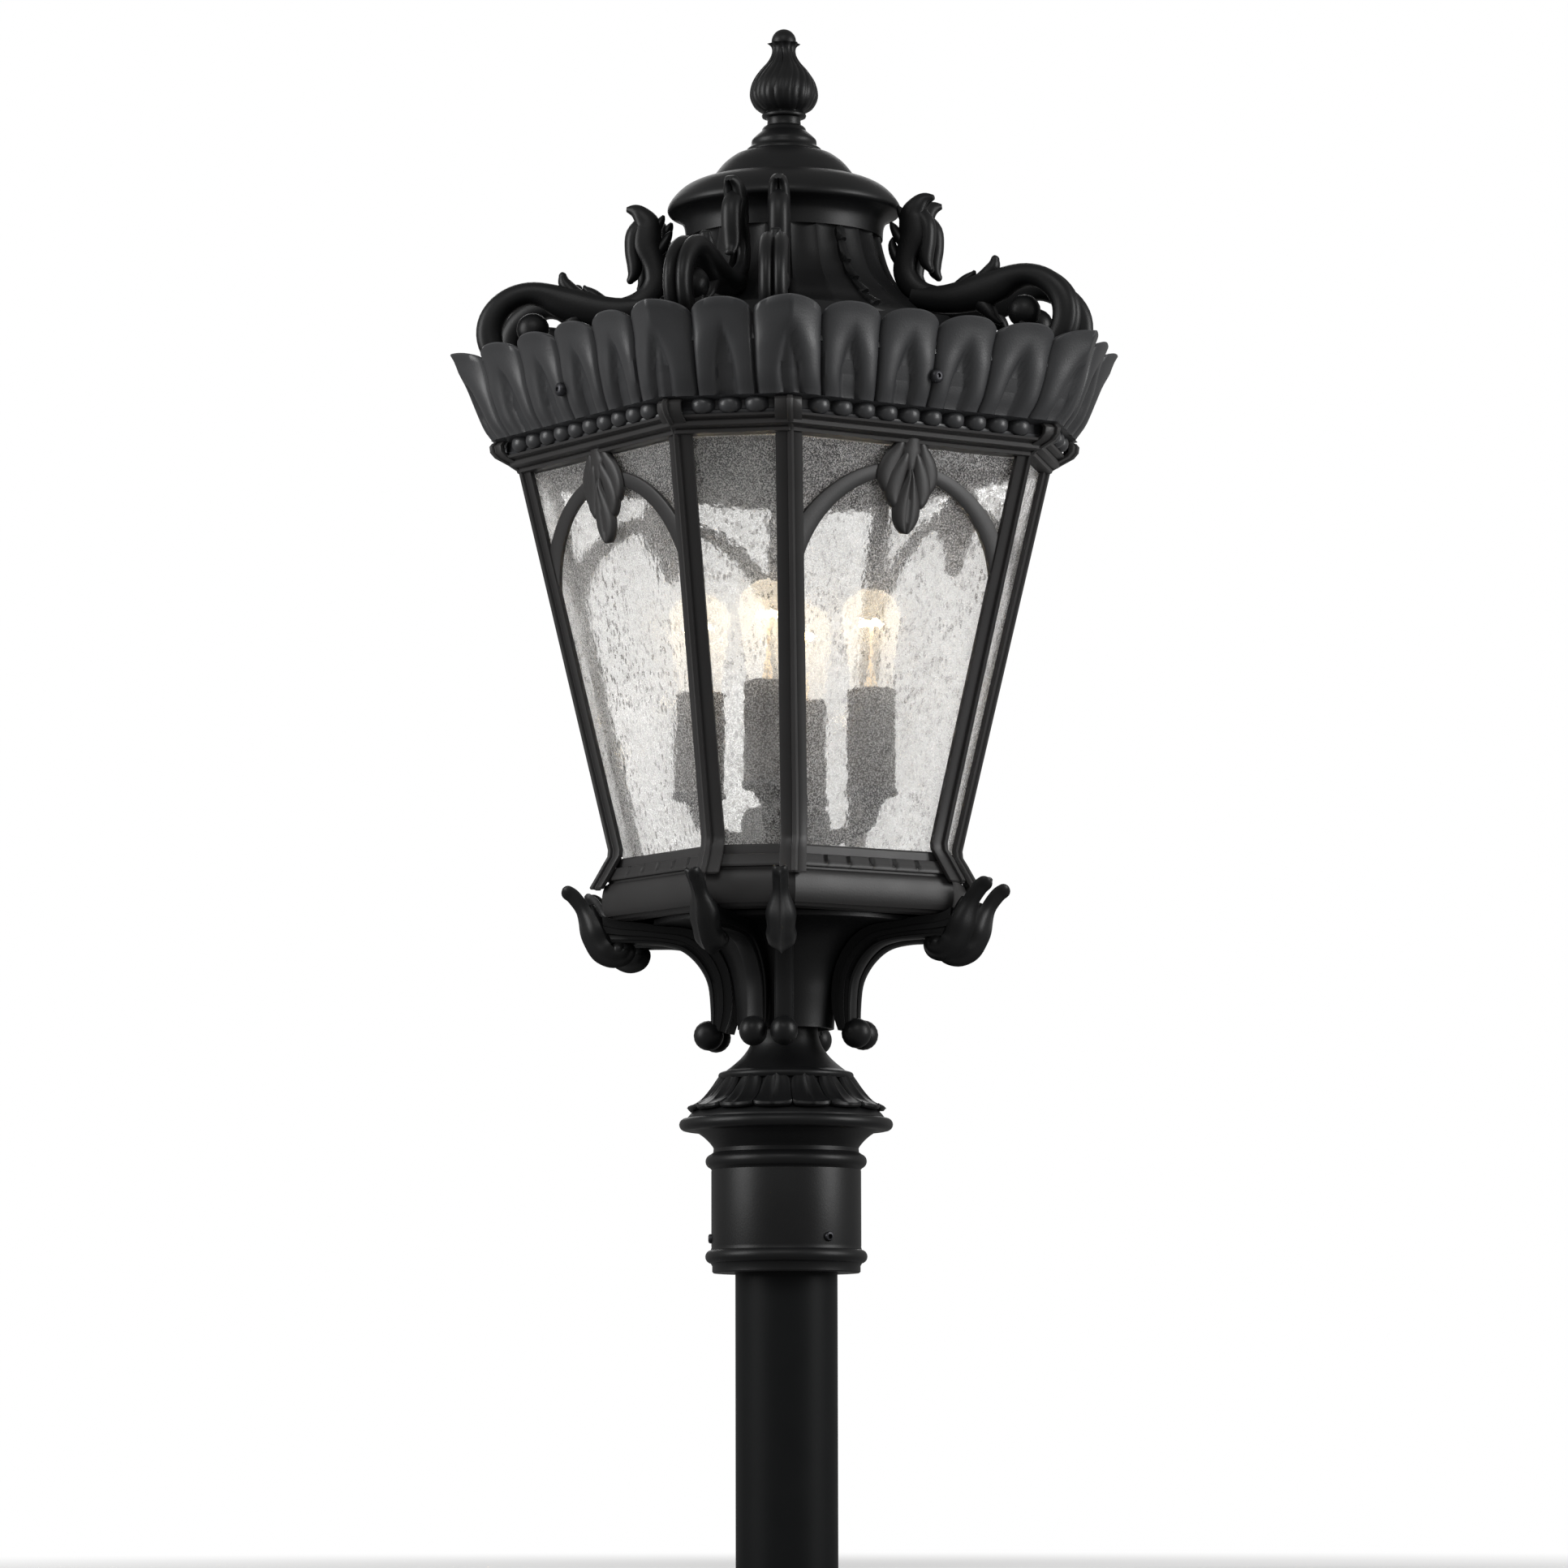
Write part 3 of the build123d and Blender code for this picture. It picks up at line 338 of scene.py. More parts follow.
def plainFinish(name, colour, roughness, metallic=0.0, size=0.002, depth=0.00004):
    look = Look(name)
    mottle = look.grain(1 / size, 3.0)
    base = look.tint(mottle, tuple(c * 0.86 for c in colour), tuple(min(1.0, c * 1.12) for c in colour))
    bump = look.add("Bump", Height=mottle, Strength=0.4, Distance=depth)
    return look.show(look.add("BsdfPrincipled", Base_Color=base, Roughness=mottle * 0.15 + roughness,
                              Metallic=metallic, Normal=bump))


castBlack = castFinish("castBlack", (0.0240, 0.0232, 0.0232), 0.44, 0.40, 0.0011, 0.00012)
# the gallery's copy of the black casting finish, made lighter: painted light
petalBlackPaintedLight = castFinish("petalBlackPaintedLight", (0.0330, 0.0338, 0.0360), 0.38, 0.55, 0.0011, 0.00012)
# the same black casting finish made darker for the collar, neck, trumpet, brackets, roof, scrolls, cap and
# finial: painted shade
bodyBlackPaintedShade = castFinish("bodyBlackPaintedShade", (0.0060, 0.0062, 0.0066), 0.42, 0.30, 0.0011, 0.00010)
postBlack = castFinish("postBlack", (0.0040, 0.0045, 0.0048), 0.46, 0.12, 0.0016, 0.00006)
screwSteel = plainFinish("screwSteel", (0.05, 0.05, 0.055), 0.35, 0.8)
pipeSteel = plainFinish("pipeSteel", (0.42, 0.41, 0.39), 0.36, 1.0)
paneGlass = seededGlass("paneGlass")
bulbGlass = clearGlass("bulbGlass")
filament = glowFinish("filament", (1.0, 0.74, 0.42), 26.0)
# the filament's stem and supports are no lamp; their glow is painted light from the filament
mountGlow = glowFinish("filamentMountPaintedGlow", (1.0, 0.80, 0.55), 0.35)
sleevePlastic = plainFinish("sleevePlastic", (0.036, 0.027, 0.022), 0.5, 0.0, 0.0016)
socketBlack = plainFinish("socketBlack", (0.02, 0.02, 0.02), 0.45)
print("finishes made")


def dress(name, finish):
    made = nodes[name]
    made.data.materials.clear()
    made.data.materials.append(finish)


for name, finish in [("post_tube", postBlack), ("center_pipe", pipeSteel), ("pipe_nut", screwSteel),
                     ("finial_stud", screwSteel)]:
    dress(name, finish)
for i in range(1, 5):
    dress(f"glass_wide_{i}", paneGlass)
    dress(f"glass_narrow_{i}", paneGlass)
    dress(f"lamp_socket_{i}", socketBlack)


# Collar, neck and trumpet: round castings under the lantern
collar = {"radius": 45.5, "sides": 160}
foot = seat["collar"]           # up to the brackets, heights count from here
collarLine = (
    [(31.4, 0.0), (44.2, 0.0), (45.0, 0.8), (45.0, 4.2)]
    + arc((45.0, 9.9), 4.2, -78, 78, 10)
    + [(45.4, 15.6), (collar["radius"], 16.4), (collar["radius"], 61.6), (45.3, 62.4)]
    + arc((44.6, 67.6), 4.4, -70, 70, 10)
    + [(44.3, 73.0), (44.1, 75.4), (5.4, 75.4), (5.4, 66.6), (31.4, 66.6)]
)
piece("collarCasting", lathe(lifted(collarLine, foot), collar["sides"], wrap=True), bodyBlackPaintedShade, "base",
      ["fitter_collar"])

neck = {"leaves": 15, "spread": 0.485}
neckLine = (
    [(34.0, 75.5), (44.1, 75.5)]
    + through([(44.6, 76.5), (47.0, 79.5), (50.8, 83.0), (55.4, 86.0)], 3)
    + arc((61.2, 89.9), 3.8, -110, 110, 10)
    + through([(59.6, 94.6), (57.6, 97.0), (54.0, 100.0), (47.0, 106.0),
               (41.0, 113.5), (38.6, 117.0)], 3)
    + [(40.4, 117.4)] + arc((39.0, 119.6), 2.2, -30, 75, 5)
    + through([(36.5, 122.6), (31.2, 126.8), (26.2, 131.6), (22.2, 137.4),
               (20.0, 143.4), (19.5, 148.0), (19.5, 160.0)], 4)
    + [(5.4, 160.0), (5.4, 150.0), (14.5, 150.0), (14.5, 126.0), (35.5, 90.0)]
)


def neckLeaves():
    # each leaf: a hollowed blade with a rib, and a thick lip that curves down to a point
    shapes = []
    blade = through([(37.6, 118.4), (40.2, 115.2), (44.6, 109.6), (50.4, 104.4), (58.6, 101.2)], 3)
    for leaf in range(neck["leaves"]):
        middle = (leaf + 0.5) * 360 / neck["leaves"]
        rings = []
        for p in [i / 10 for i in range(-10, 11)]:
            bow = math.sqrt(max(0.0, 1 - p * p))
            ring = []
            turn = math.radians(middle + p * neck["spread"] * 360 / neck["leaves"])
            last = len(blade) - 1
            for k, (r, z) in enumerate(blade):
                t = k / last
                fan = mix(0.72, 1.0, smooth(0, 0.5, t))
                hollow = 1.5 * math.sin(math.pi * min(1, abs(p) / 0.8))
                hollow *= math.sin(math.pi * min(1, t * 1.1))
                rib = 0.9 * math.exp(-(p / 0.12) ** 2)
                a = math.radians(middle) + (turn - math.radians(middle)) * fan
                out = r + 1.6 - 2.4 * abs(p) ** 4 - hollow + rib
                drop = t ** 2 * (1.6 + 2.4 * bow)
                ring.append((out * math.cos(a), out * math.sin(a), foot + z - drop + 2.2))
            lipOut = blade[-1][0] - 1.5 + 2.2 * bow
            lip = [(lipOut + 0.6, 99.6), (lipOut + 0.9, 97.9), (lipOut, 96.9), (lipOut - 5, 96.6)]
            for out, z in lip:
                ring.append((out * math.cos(turn), out * math.sin(turn), foot + z - 1.4 * bow + 2.6))
            for r, z in reversed(blade[::4]):
                ring.append(((r - 3.5) * math.cos(turn), (r - 3.5) * math.sin(turn), foot + z - 2.5))
            rings.append(ring)
        shapes.append(rows(rings))
    return join(*shapes)


neckShape = join(lathe(lifted(neckLine, foot), 150, wrap=True), neckLeaves())
piece("neckCasting", neckShape, bodyBlackPaintedShade, "base", ["neck_casting"], edge=42)

trumpetLine = (
    [(26.0, 148.0), (29.4, 148.0)]
    + through([(29.4, 149.0), (30.0, 158.0), (31.2, 168.0), (32.6, 178.0),
               (35.8, 188.6), (41.2, 198.2), (49.4, 205.6), (60.0, 210.0),
               (72.0, 211.2)], 4)
    + [(80.4, 211.2), (80.4, 214.0), (72.0, 214.0), (58.0, 213.2), (46.0, 208.4),
       (37.6, 200.4), (32.4, 190.0), (29.4, 178.0), (27.4, 164.0),
       (5.4, 163.6), (5.4, 160.2), (26.0, 160.2)]
)
trumpetShape = lathe(lifted(trumpetLine, foot), 144, wrap=True)
piece("trumpetCasting", trumpetShape, bodyBlackPaintedShade, "base", ["base_trumpet"])
print("collar, neck and trumpet made")


# Tray: banded octagon with notches along the wide sides
tray = {"torus": (96.6, 109.1), "notches": 5, "pitch": 16.5, "columns": 96}


def grown(flats, by):
    return flats[0] + by, flats[1] + by


trayOutline = (
    [((85.5, 96.5), 214.0), ((89.6, 101.2), 214.6), ((91.0, 103.0), 216.4)]
    + [(grown(tray["torus"], 3.4 * math.cos(a) - 3.8), 226.0 + 10.2 * math.sin(a))
       for a in [math.radians(x) for x in (-72, -55, -38, -20, 0, 20, 38, 55, 72)]]
    + [((92.4, 104.7), 236.6), ((92.4, 104.7), 237.8), ((94.0, 106.6), 238.2), ((94.2, 106.8), 239.0),
       ((93.9, 106.5), 240.2), ((93.2, 105.8), 241.6), ((92.6, 105.2), 243.0), ((92.0, 104.5), 244.4),
       ((91.4, 103.8), 245.6), ((90.2, 102.4), 246.0)]
)
trayInside = [((80.0, 90.0), 246.0), ((80.0, 90.0), 243.0), ((86.0, 96.5), 240.0), ((88.0, 99.5), 226.0),
              ((82.0, 92.5), 217.0), ((80.5, 91.0), 214.0)]


def trayNotch(face, along, z):
    # depth of the scooped notches in the upper band of the wide sides
    if face % 2 or not 239.6 < z < 246.1:
        return 0.0
    reach = tray["notches"] // 2 * tray["pitch"] + 3
    off = abs((along + tray["pitch"] / 2) % tray["pitch"] - tray["pitch"] / 2)
    return 2.2 * smooth(1.5, 0.5, off) * smooth(239.8, 241.8, z) if abs(along) < reach else 0.0


def trayRow(flats, z):
    row = []
    for face in range(8):
        half = halfSides(flats)[face % 2]
        for i in range(tray["columns"]):
            along = mix(-half, half, i / tray["columns"])
            row.append(onFace(face, flats[face % 2] - trayNotch(face, along, z), along, foot + z))
    return row


trayShape = join(rows([trayRow(flats, z) for flats, z in trayOutline + trayInside], wrap=True),
                 rows([octagonRow((81.0, 91.0), foot + z) for z in (243.0, 246.0)]))
piece("trayCasting", trayShape, castBlack, "base", ["base_tray"], edge=32)
print("tray made")


# Eight brackets under the tray
bracket = {"turn": 11.7, "twist": -2.0, "arm": 6.0, "ball": 9.2}
armBack = through([
    (37.0, 146.0), (33.0, 160.0), (33.6, 178.0), (38.6, 192.0), (48.0, 203.6), (60.0, 209.4),
    (76.0, 211.0), (88.0, 213.0), (104.0, 214.6), (112.0, 218.0),
], 4)
armFront = through([
    (45.6, 148.0), (45.8, 160.0), (47.2, 174.0), (51.2, 183.6), (57.6, 191.6), (65.2, 196.8),
    (75.6, 199.2), (86.0, 199.8), (97.0, 200.0), (110.0, 200.0),
], 4)
armBands = [                    # share of the way from back to front, half width in arms
    (0.0, 0.84), (0.36, 0.84), (0.39, 0.97), (0.62, 0.97), (0.65, 0.80), (0.80, 0.80), (0.84, 0.88),
    (0.94, 0.82), (1.0, 0.5),
]
leafPath = through([
    (99.8, 200.4, 2.6, 6.4), (95.6, 197.4, 4.0, 8.0), (98.4, 192.9, 5.2, 8.6), (105.8, 192.0, 6.2, 8.8),
    (112.8, 196.6, 7.4, 9.4), (117.2, 204.6, 7.6, 9.9), (120.6, 214.6, 6.2, 7.6),
    (124.4, 222.8, 4.8, 5.2), (129.2, 229.2, 4.6, 4.9), (132.6, 231.8, 4.4, 4.8),
], 6)
innerLeaf = through([
    (108.0, 199.0, 4.0, 7.6), (112.0, 206.0, 5.0, 7.4), (115.4, 214.0, 4.4, 6.6),
    (117.6, 220.6, 3.0, 5.0), (118.6, 224.6, 1.4, 2.6),
], 4)


def lobed(path, start, end, count, depth):
    # scallops the edge of a leaf
    made = []
    for i, (out, z, thick, width) in enumerate(path):
        t = (i / (len(path) - 1) - start) / (end - start)
        cut = depth * math.sin(math.pi * min(1.0, max(0.0, t)) * count) ** 2
        made.append((out, z, thick * (1 - cut * 0.5), width * (1 - cut)))
    return made


def bracketShape(angle):
    rings = []
    for back, front in zip(armBack, armFront):
        edge = [(mix(back[0], front[0], share), foot + mix(back[1], front[1], share), width * bracket["arm"])
                for share, width in armBands]
        rings.append([inPlane(angle, out, z, side) for out, z, side in edge]
                     + [inPlane(angle, out, z, -side) for out, z, side in reversed(edge)])
    leaf = blunt(lobed(leafPath, 0.40, 0.84, 2, 0.14))
    return join(
        rows(rings),
        sweep(angle, lifted(leaf, foot), [(-a, b) for a, b in leafSection]),
        sweep(angle, lifted(innerLeaf, foot), roundSection),
        ball(angle, 47.0, foot + 144.3, bracket["ball"], 8.4),
        ball(angle, 101.6, foot + 196.4, 6.0, 9.0),
    )


for i in range(8):
    angle = 45 + 90 * (i // 2) + bracket["twist"] + bracket["turn"] * (-1, 1)[i % 2]
    piece(f"traybracket{i + 1}", bracketShape(angle), bodyBlackPaintedShade, "base",
          [f"lower_bracket_{i + 1}"], edge=40)
print("brackets made")


# Cage: eight ribs with a ridge along each corner, sill and stepped head rails
ribLine = [                     # height, distances to the wide and the narrow flats
    (413.2, 100.2, 113.8), (414.2, 100.4, 114.1), (420.0, 97.6, 110.8), (428.0, 94.0, 106.4),
    (433.0, 91.8, 103.4), (437.0, 91.5, 103.0), (460.0, 95.9, 108.3), (669.7, 135.6, 157.3),
    (672.0, 137.4, 159.2), (674.6, 141.0, 163.8), (679.2, 147.8, 172.0), (682.6, 150.2, 174.8),
    (686.4, 150.6, 175.3), (688.4, 149.2, 173.7), (689.4, 147.0, 171.2),
]
ridge = [(2.6, 0.0), (2.1, -0.25), (1.75, -0.1), (1.6, 0.8), (1.15, 1.55)]


def ribRing(wide, narrow, z, face, hand, pinch):
    # face: the wide face beside the corner; hand: on which side the narrow face lies
    other = face + hand
    halfWide = halfSides((wide, narrow))[0]
    corner = Vector(onFace(face, wide, hand * halfWide, z))
    ring = []
    for side, turn, leg in ((face, -hand, cage["legs"][0]), (other, hand, cage["legs"][1])):
        a = math.radians(45 * side)
        normal = Vector((math.cos(a), math.sin(a), 0))
        along = Vector((-math.sin(a), math.cos(a), 0)) * turn
        profile = [(leg, -cage["wall"]), (leg, -0.7), (leg - 0.25, -0.2), (leg - 0.8, 0.0), *ridge]
        line = [corner + along * s * pinch + normal * d * pinch for s, d in profile]
        ring += line if side == face else line[::-1]
    half = math.radians(45 * face + 22.5 * hand)
    bisector = Vector((math.cos(half), math.sin(half), 0))
    ring.insert(len(ridge) + 4, corner + bisector * 2.15 * pinch)
    ring.append(corner - bisector * 3.2 / math.cos(math.radians(22.5)))
    return [tuple(p) for p in ring]


def cageShape():
    shapes = []
    for face in range(0, 8, 2):
        for hand in (-1, 1):
            pinches = [0.86] + [1.0] * (len(ribLine) - 2) + [0.86]
            rings = [ribRing(wide, narrow, z, face, hand, pinch)
                     for (z, wide, narrow), pinch in zip(ribLine, pinches)]
            shapes.append(rows(rings))
    head = [(669.7, 1.6), (670.2, 3.2), (672.0, 3.8), (672.8, 3.4), (673.2, 6.4), (674.2, 7.8),
            (676.4, 8.4), (677.4, 7.8), (677.8, 9.4), (678.6, 11.4), (680.0, 12.0)]
    inside = [(680.0, -10.4), (669.7, -10.4)]
    shapes.append(rows([octagonRow(grown(cage["high"], off), z, 2) for z, off in head + inside], wrap=True))
    sill = [(426.0, -1.2), (430.6, -1.2), (431.7, -2.0), (431.7, -15.0), (426.0, -15.0)]
    shapes.append(rows([octagonRow(grown(cage["low"], off), z, 2) for z, off in sill], wrap=True))
    return join(*shapes)


piece("cageCasting", cageShape(), castBlack, "base", ["cage_frame"], edge=34)
print("cage made")


# Spring clips behind the foot of each pane, low enough to stay behind the sill
clip = {"width": 10.0, "height": 3.0, "behind": 7.4, "thick": 1.6, "below": 2.6}


def clipShapes():
    half, low = clip["width"] / 2, seat["glass"] - clip["below"]
    outline = [(0, -half), (0, half), (clip["thick"], half), (clip["thick"], -half)]
    shapes = []
    for face in range(8):
        out = cage["low"][face % 2] - clip["behind"]
        shapes.append(rows([[onFace(face, out - back, along, z) for back, along in outline]
                            for z in (low, low + clip["height"])]))
    return join(*shapes)


piece("paneClips", clipShapes(), screwSteel, "base", ["glass_clips"])


# Arches over the wide panes, with a hanging leaf
arch = {"outer": 88.0, "inner": 70.0, "crown": 479.0, "band": 8.0}
lean = math.atan2(cage["high"][0] - cage["low"][0], cage["rise"])
lobes = [                       # spine (across, height, half width), lift, thickness, vein
    ([(6.0, 494.0, 1.5), (9.2, 486.0, 4.6), (13.2, 478.0, 6.6), (15.4, 470.0, 6.6), (14.4, 463.4, 4.0),
      (12.4, 460.0, 0.8)], 0.3, 2.6, 0.0),
    ([(2.6, 486.5, 1.2), (5.4, 479.0, 4.2), (8.8, 470.0, 6.2), (10.6, 461.5, 6.2), (9.6, 455.0, 3.4),
      (8.0, 452.0, 0.8)], 1.6, 2.6, 0.0),
]
stem = [(0.0, 495.0, 6.6), (0.0, 489.0, 6.6), (0.0, 485.6, 7.6), (0.0, 478.0, 4.6), (0.0, 472.0, 1.5)]
tongue = [(0.0, 479.0, 0.6), (0.0, 472.0, 2.8), (0.0, 463.5, 6.6), (0.0, 455.0, 9.6), (0.0, 448.0, 10.0),
          (0.0, 441.6, 7.4), (0.0, 437.2, 2.2)]


def onPane(side, across, z, lift):
    # a point in front of a wide face's leaning plane, named by its height and its lift off that plane
    w = (z + seat["collar"] - seat["glass"]) / math.cos(lean)
    out = cage["low"][0] + w * math.sin(lean) + lift * math.cos(lean)
    return onFace(side, out, across, seat["glass"] + w * math.cos(lean) - lift * math.sin(lean))


def leafLobe(side, spine, lift, thick, vein, mirror=1):
    rings = []
    line = through(spine, 4)
    for i, (across, z, half) in enumerate(line):
        a, b = line[max(i - 1, 0)], line[min(i + 1, len(line) - 1)]
        run = Vector((b[0] - a[0], b[1] - a[1])).normalized()
        ring = []
        for k in range(13):
            x = -1 + k / 6
            dome = math.sqrt(max(0.0, 1 - x * x)) - vein * math.exp(-(x / 0.16) ** 2)
            shrink = min(1.0, half / 3.0)
            ring.append(onPane(side, mirror * (across - run.y * x * half), z + run.x * x * half,
                               lift + thick * dome * shrink))
        for x in (0.9, 0.0, -0.9):
            ring.append(onPane(side, mirror * (across - run.y * x * half), z + run.x * x * half, lift - 1.6))
        rings.append(ring)
    return rows(rings)


def reachOf(centre, radius):
    # degrees from the top at which an arc meets the rib
    for step in range(900):
        a = math.radians(step / 10)
        share = (centre + radius * math.cos(a) + seat["collar"] - seat["glass"]) / cage["rise"]
        flats = [mix(low, high, share) for low, high in zip(cage["low"], cage["high"])]
        if radius * math.sin(a) >= halfSides(flats)[0] - cage["legs"][0] + 0.4:
            return step / 10
    return 90


def archShape(side):
    # the band runs between two arcs and ends where each meets the rib
    arcs = [(arch["crown"] - arch["outer"], arch["outer"]),
            (arch["crown"] - arch["band"] - arch["inner"], arch["inner"])]
    reaches = [reachOf(centre, radius) for centre, radius in arcs]
    rings = []
    for i in range(61):
        t = -1 + i / 30
        ends = []
        for (centre, radius), reach in zip(arcs, reaches):
            a = math.radians(t * reach)
            ends.append((radius * math.sin(a), centre + radius * math.cos(a)))
        ring = []
        for share, lift in ((0, -2.9), (0, -0.8), (0.1, -0.3), (0.9, -0.3), (1, -0.8), (1, -2.9)):
            across, z = (mix(a, b, share) for a, b in zip(*ends))
            ring.append(onPane(side, across, z, lift))
        rings.append(ring)
    shapes = [rows(rings)]
    for spine, lift, thick, vein in lobes:
        shapes += [leafLobe(side, spine, lift, thick, vein, hand) for hand in (-1, 1)]
    shapes.append(leafLobe(side, stem, 0.8, 3.0, 0.0))
    shapes.append(leafLobe(side, tongue, 2.2, 3.4, 0.34))
    return join(*shapes)


for i in range(4):
    piece(f"archTrim{i + 1}", archShape(2 * i), castBlack, "base",
          [f"arch_trim_{i + 1}"], edge=50)
print("arches made")


# Lamp cluster: hub, bent arms and cups
lamps = {"circle": 53.0, "angles": (45, 135, 225, 315), "arm": 4.7}
hubLine = [(5.4, 426.0), (26.0, 426.0), (27.0, 427.0), (27.0, 458.0), (26.0, 461.0), (23.0, 463.0),
           (5.4, 463.0)]
armLine = through([(24.0, 444.0), (31.0, 445.0), (40.0, 447.4), (48.0, 451.6), (52.0, 457.0),
                   (53.0, 463.0)], 4)
cupLine = [(0.4, 461.0), (5.6, 461.0), (6.4, 464.4), (9.4, 467.8), (14.6, 469.4), (16.0, 470.4),
           (16.2, 472.4), (15.6, 474.0), (0.4, 474.0)]


def lampSpot(angle):
    a = math.radians(angle)
    return lamps["circle"] * math.cos(a), lamps["circle"] * math.sin(a)


clusterShapes = [lathe(hubLine, 72, wrap=True)]
for angle in lamps["angles"]:
    armPath = [(out, z, lamps["arm"], lamps["arm"]) for out, z in armLine]
    clusterShapes.append(sweep(angle, armPath, roundSection))
    clusterShapes.append(lathe(cupLine, 40, lampSpot(angle)))
piece("lampCluster", join(*clusterShapes), castBlack, "base", ["lamp_cluster"])


# Candle sleeves and lit bulbs
bulb = {"globe": 579.5, "radius": 17.5}
coil = {"height": 576.0, "radius": 5.2, "wire": 1.7, "wave": 0.9, "spokes": 5}
sleeveLine = [(13.2, 474.0), (14.75, 474.0), (14.75, 534.0), (14.2, 535.0), (13.6, 535.0), (13.2, 534.0)]
bulbLine = (
    [(0.3, 514.5), (5.6, 514.6), (8.2, 516.4), (8.3, 524.0)]
    + through([(8.6, 525.0), (11.4, 531.0), (13.0, 538.0), (13.8, 548.0), (15.2, 560.0), (16.8, 570.0)], 3)
    + arc((0.0, bulb["globe"]), bulb["radius"], -16, 88, 16)
)
stemLine = [(0.3, 531.0), (3.0, 531.0), (3.2, 540.0), (1.8, 548.0), (1.0, 556.0), (0.9, 566.0),
            (1.4, 571.0), (1.1, 575.0), (0.3, 576.4)]


def filamentRing(spot):
    # a small glowing ring that waves up and down
    rings = []
    for k in range(40):
        t = math.tau * k / 40
        z = coil["height"] + coil["wave"] * math.cos(4 * t)
        ring = []
        for j in range(8):
            s = math.tau * j / 8
            r = coil["radius"] + coil["wire"] * math.cos(s)
            rise = coil["wire"] * math.sin(s)
            ring.append((spot[0] + r * math.cos(t), spot[1] + r * math.sin(t), z + rise))
        rings.append(ring)
    return rows(rings, wrap=True)


def filamentStem(spot):
    shapes = [lathe(stemLine, 20, spot)]
    for k in range(coil["spokes"]):
        a = math.tau * k / coil["spokes"]
        rings = []
        for r, z in ((1.0, coil["height"] - 4.0), (coil["radius"], coil["height"])):
            rings.append([(spot[0] + r * math.cos(a) - s * math.sin(a),
                           spot[1] + r * math.sin(a) + s * math.cos(a), z + h)
                          for s, h in ((-0.3, -0.3), (0.3, -0.3), (0.3, 0.3), (-0.3, 0.3))])
        shapes.append(rows(rings))
    return join(*shapes)


for i, angle in enumerate(lamps["angles"], start=1):
    spot = lampSpot(angle)
    piece(f"candleSleeve{i}", lathe(sleeveLine, 56, spot, wrap=True), sleevePlastic, "base",
          [f"candle_sleeve_{i}"])
    piece(f"bulbGlass{i}", lathe(bulbLine, 48, spot), bulbGlass, f"bulb_{i}",
          [f"bulb_{i}"], edge=60)
    piece(f"filamentRing{i}", filamentRing(spot), filament, f"bulb_{i}")
    piece(f"filamentStem{i}", filamentStem(spot), mountGlow, f"bulb_{i}")
print("lamps made")


# Crown gallery: petals over a rail of beads
gallery = {
    "height": 54.4, "notch": 8.6, "depth": 6.0, "columns": 24, "screws": 17.5,
    "rail": (144.0, 167.2), "beads": (10, 3), "beadPitch": 16.2,
    "wideSeams": (-0.783, -0.39, 0.0, 0.39, 0.783), "narrowSeams": (-0.45, 0.45),
}
galleryLine = through([
    (0.0, 153.6, 176.8), (3.0, 155.6, 179.2), (10.0, 159.0, 184.0), (24.0, 163.4, 189.6),
    (36.0, 166.8, 193.8), (46.0, 169.8, 197.2), (52.0, 172.2, 199.8), (54.4, 173.8, 201.8),
], 6)


def galleryFlats(rise):
    for low, high in zip(galleryLine, galleryLine[1:]):
        if rise <= high[0]:
            t = (rise - low[0]) / (high[0] - low[0])
            return mix(low[1], high[1], t), mix(low[2], high[2], t)
    return galleryLine[-1][1:]


def galleryPetals():
    # every petal as (face, share) at its left seam, tip and right seam
    made = []
    for face in range(8):
        seams = gallery["wideSeams"] if face % 2 == 0 else gallery["narrowSeams"]
        after = gallery["narrowSeams"] if face % 2 == 0 else gallery["wideSeams"]
        for low, high in zip(seams, seams[1:]):
            made.append(((face, low), (face, (low + high) / 2), (face, high)))
        made.append(((face, seams[-1]), (face, 1.0), (face + 1, after[0])))
    return made


def petalRelief(p, v):
    # a round-topped petal; further down two rods part around a wedge-shaped hollow
    p = abs(p)
    part = smooth(0.80, 0.50, v)
    gap = 0.02 + 0.30 * smooth(0.80, 0.15, v)
    across = max(0.0, (p - gap) / (1 - gap))
    rod = math.sqrt(max(0.0, 1 - (2 * across - 1) ** 2)) ** 0.75
    single = math.sqrt(max(0.0, 1 - p ** 2.6))
    return mix(single, 0.12 + 0.86 * rod, part) - 1


def petalSpot(left, tip, right, p):
    # face and share of its half side, for p from -1 at the left seam to 1 at the right seam
    if p < 0:
        return left[0], mix(left[1], tip[1], p + 1)
    if tip[0] == right[0]:
        return tip[0], mix(tip[1], right[1], p)
    return right[0], mix(-1.0, right[1], p)


def onGallery(face, share, rise, off):
    flats = grown(galleryFlats(rise), off)
    return onFace(face, flats[face % 2], share * halfSides(flats)[face % 2], seat["gallery"] + rise)


def galleryShape():
    outer = [i / 15 for i in range(16)]
    inner = [(0.0, -1.2), (0.2, -2.8), (1.6, -4.0), (8.0, -5.0), (22.0, -5.2), (40.0, -5.2)]
    columns = []
    for left, tip, right in galleryPetals():
        for i in range(gallery["columns"]):
            p = -1 + 2 * i / gallery["columns"]
            face, share = petalSpot(left, tip, right, p)
            top = gallery["height"] - gallery["notch"] * (1 - math.sqrt(max(0.0, 1 - abs(p) ** 2.2)))
            column = []
            for v in outer:
                relief = gallery["depth"] * petalRelief(p, v) * smooth(-0.1, 0.05, v)
                column.append(onGallery(face, share, v * (top - 1.0), relief))
            edge = gallery["depth"] * petalRelief(p, 1.0)
            for down, off in inner:
                rise = max(0.0, top - down)
                column.append(onGallery(face, share, rise, edge * max(0, 1 - down / 9) + off))
            column.append(onGallery(face, share, 0.0, -6.0))
            columns.append(column)
    return rows(list(zip(*columns)), wrap=True)


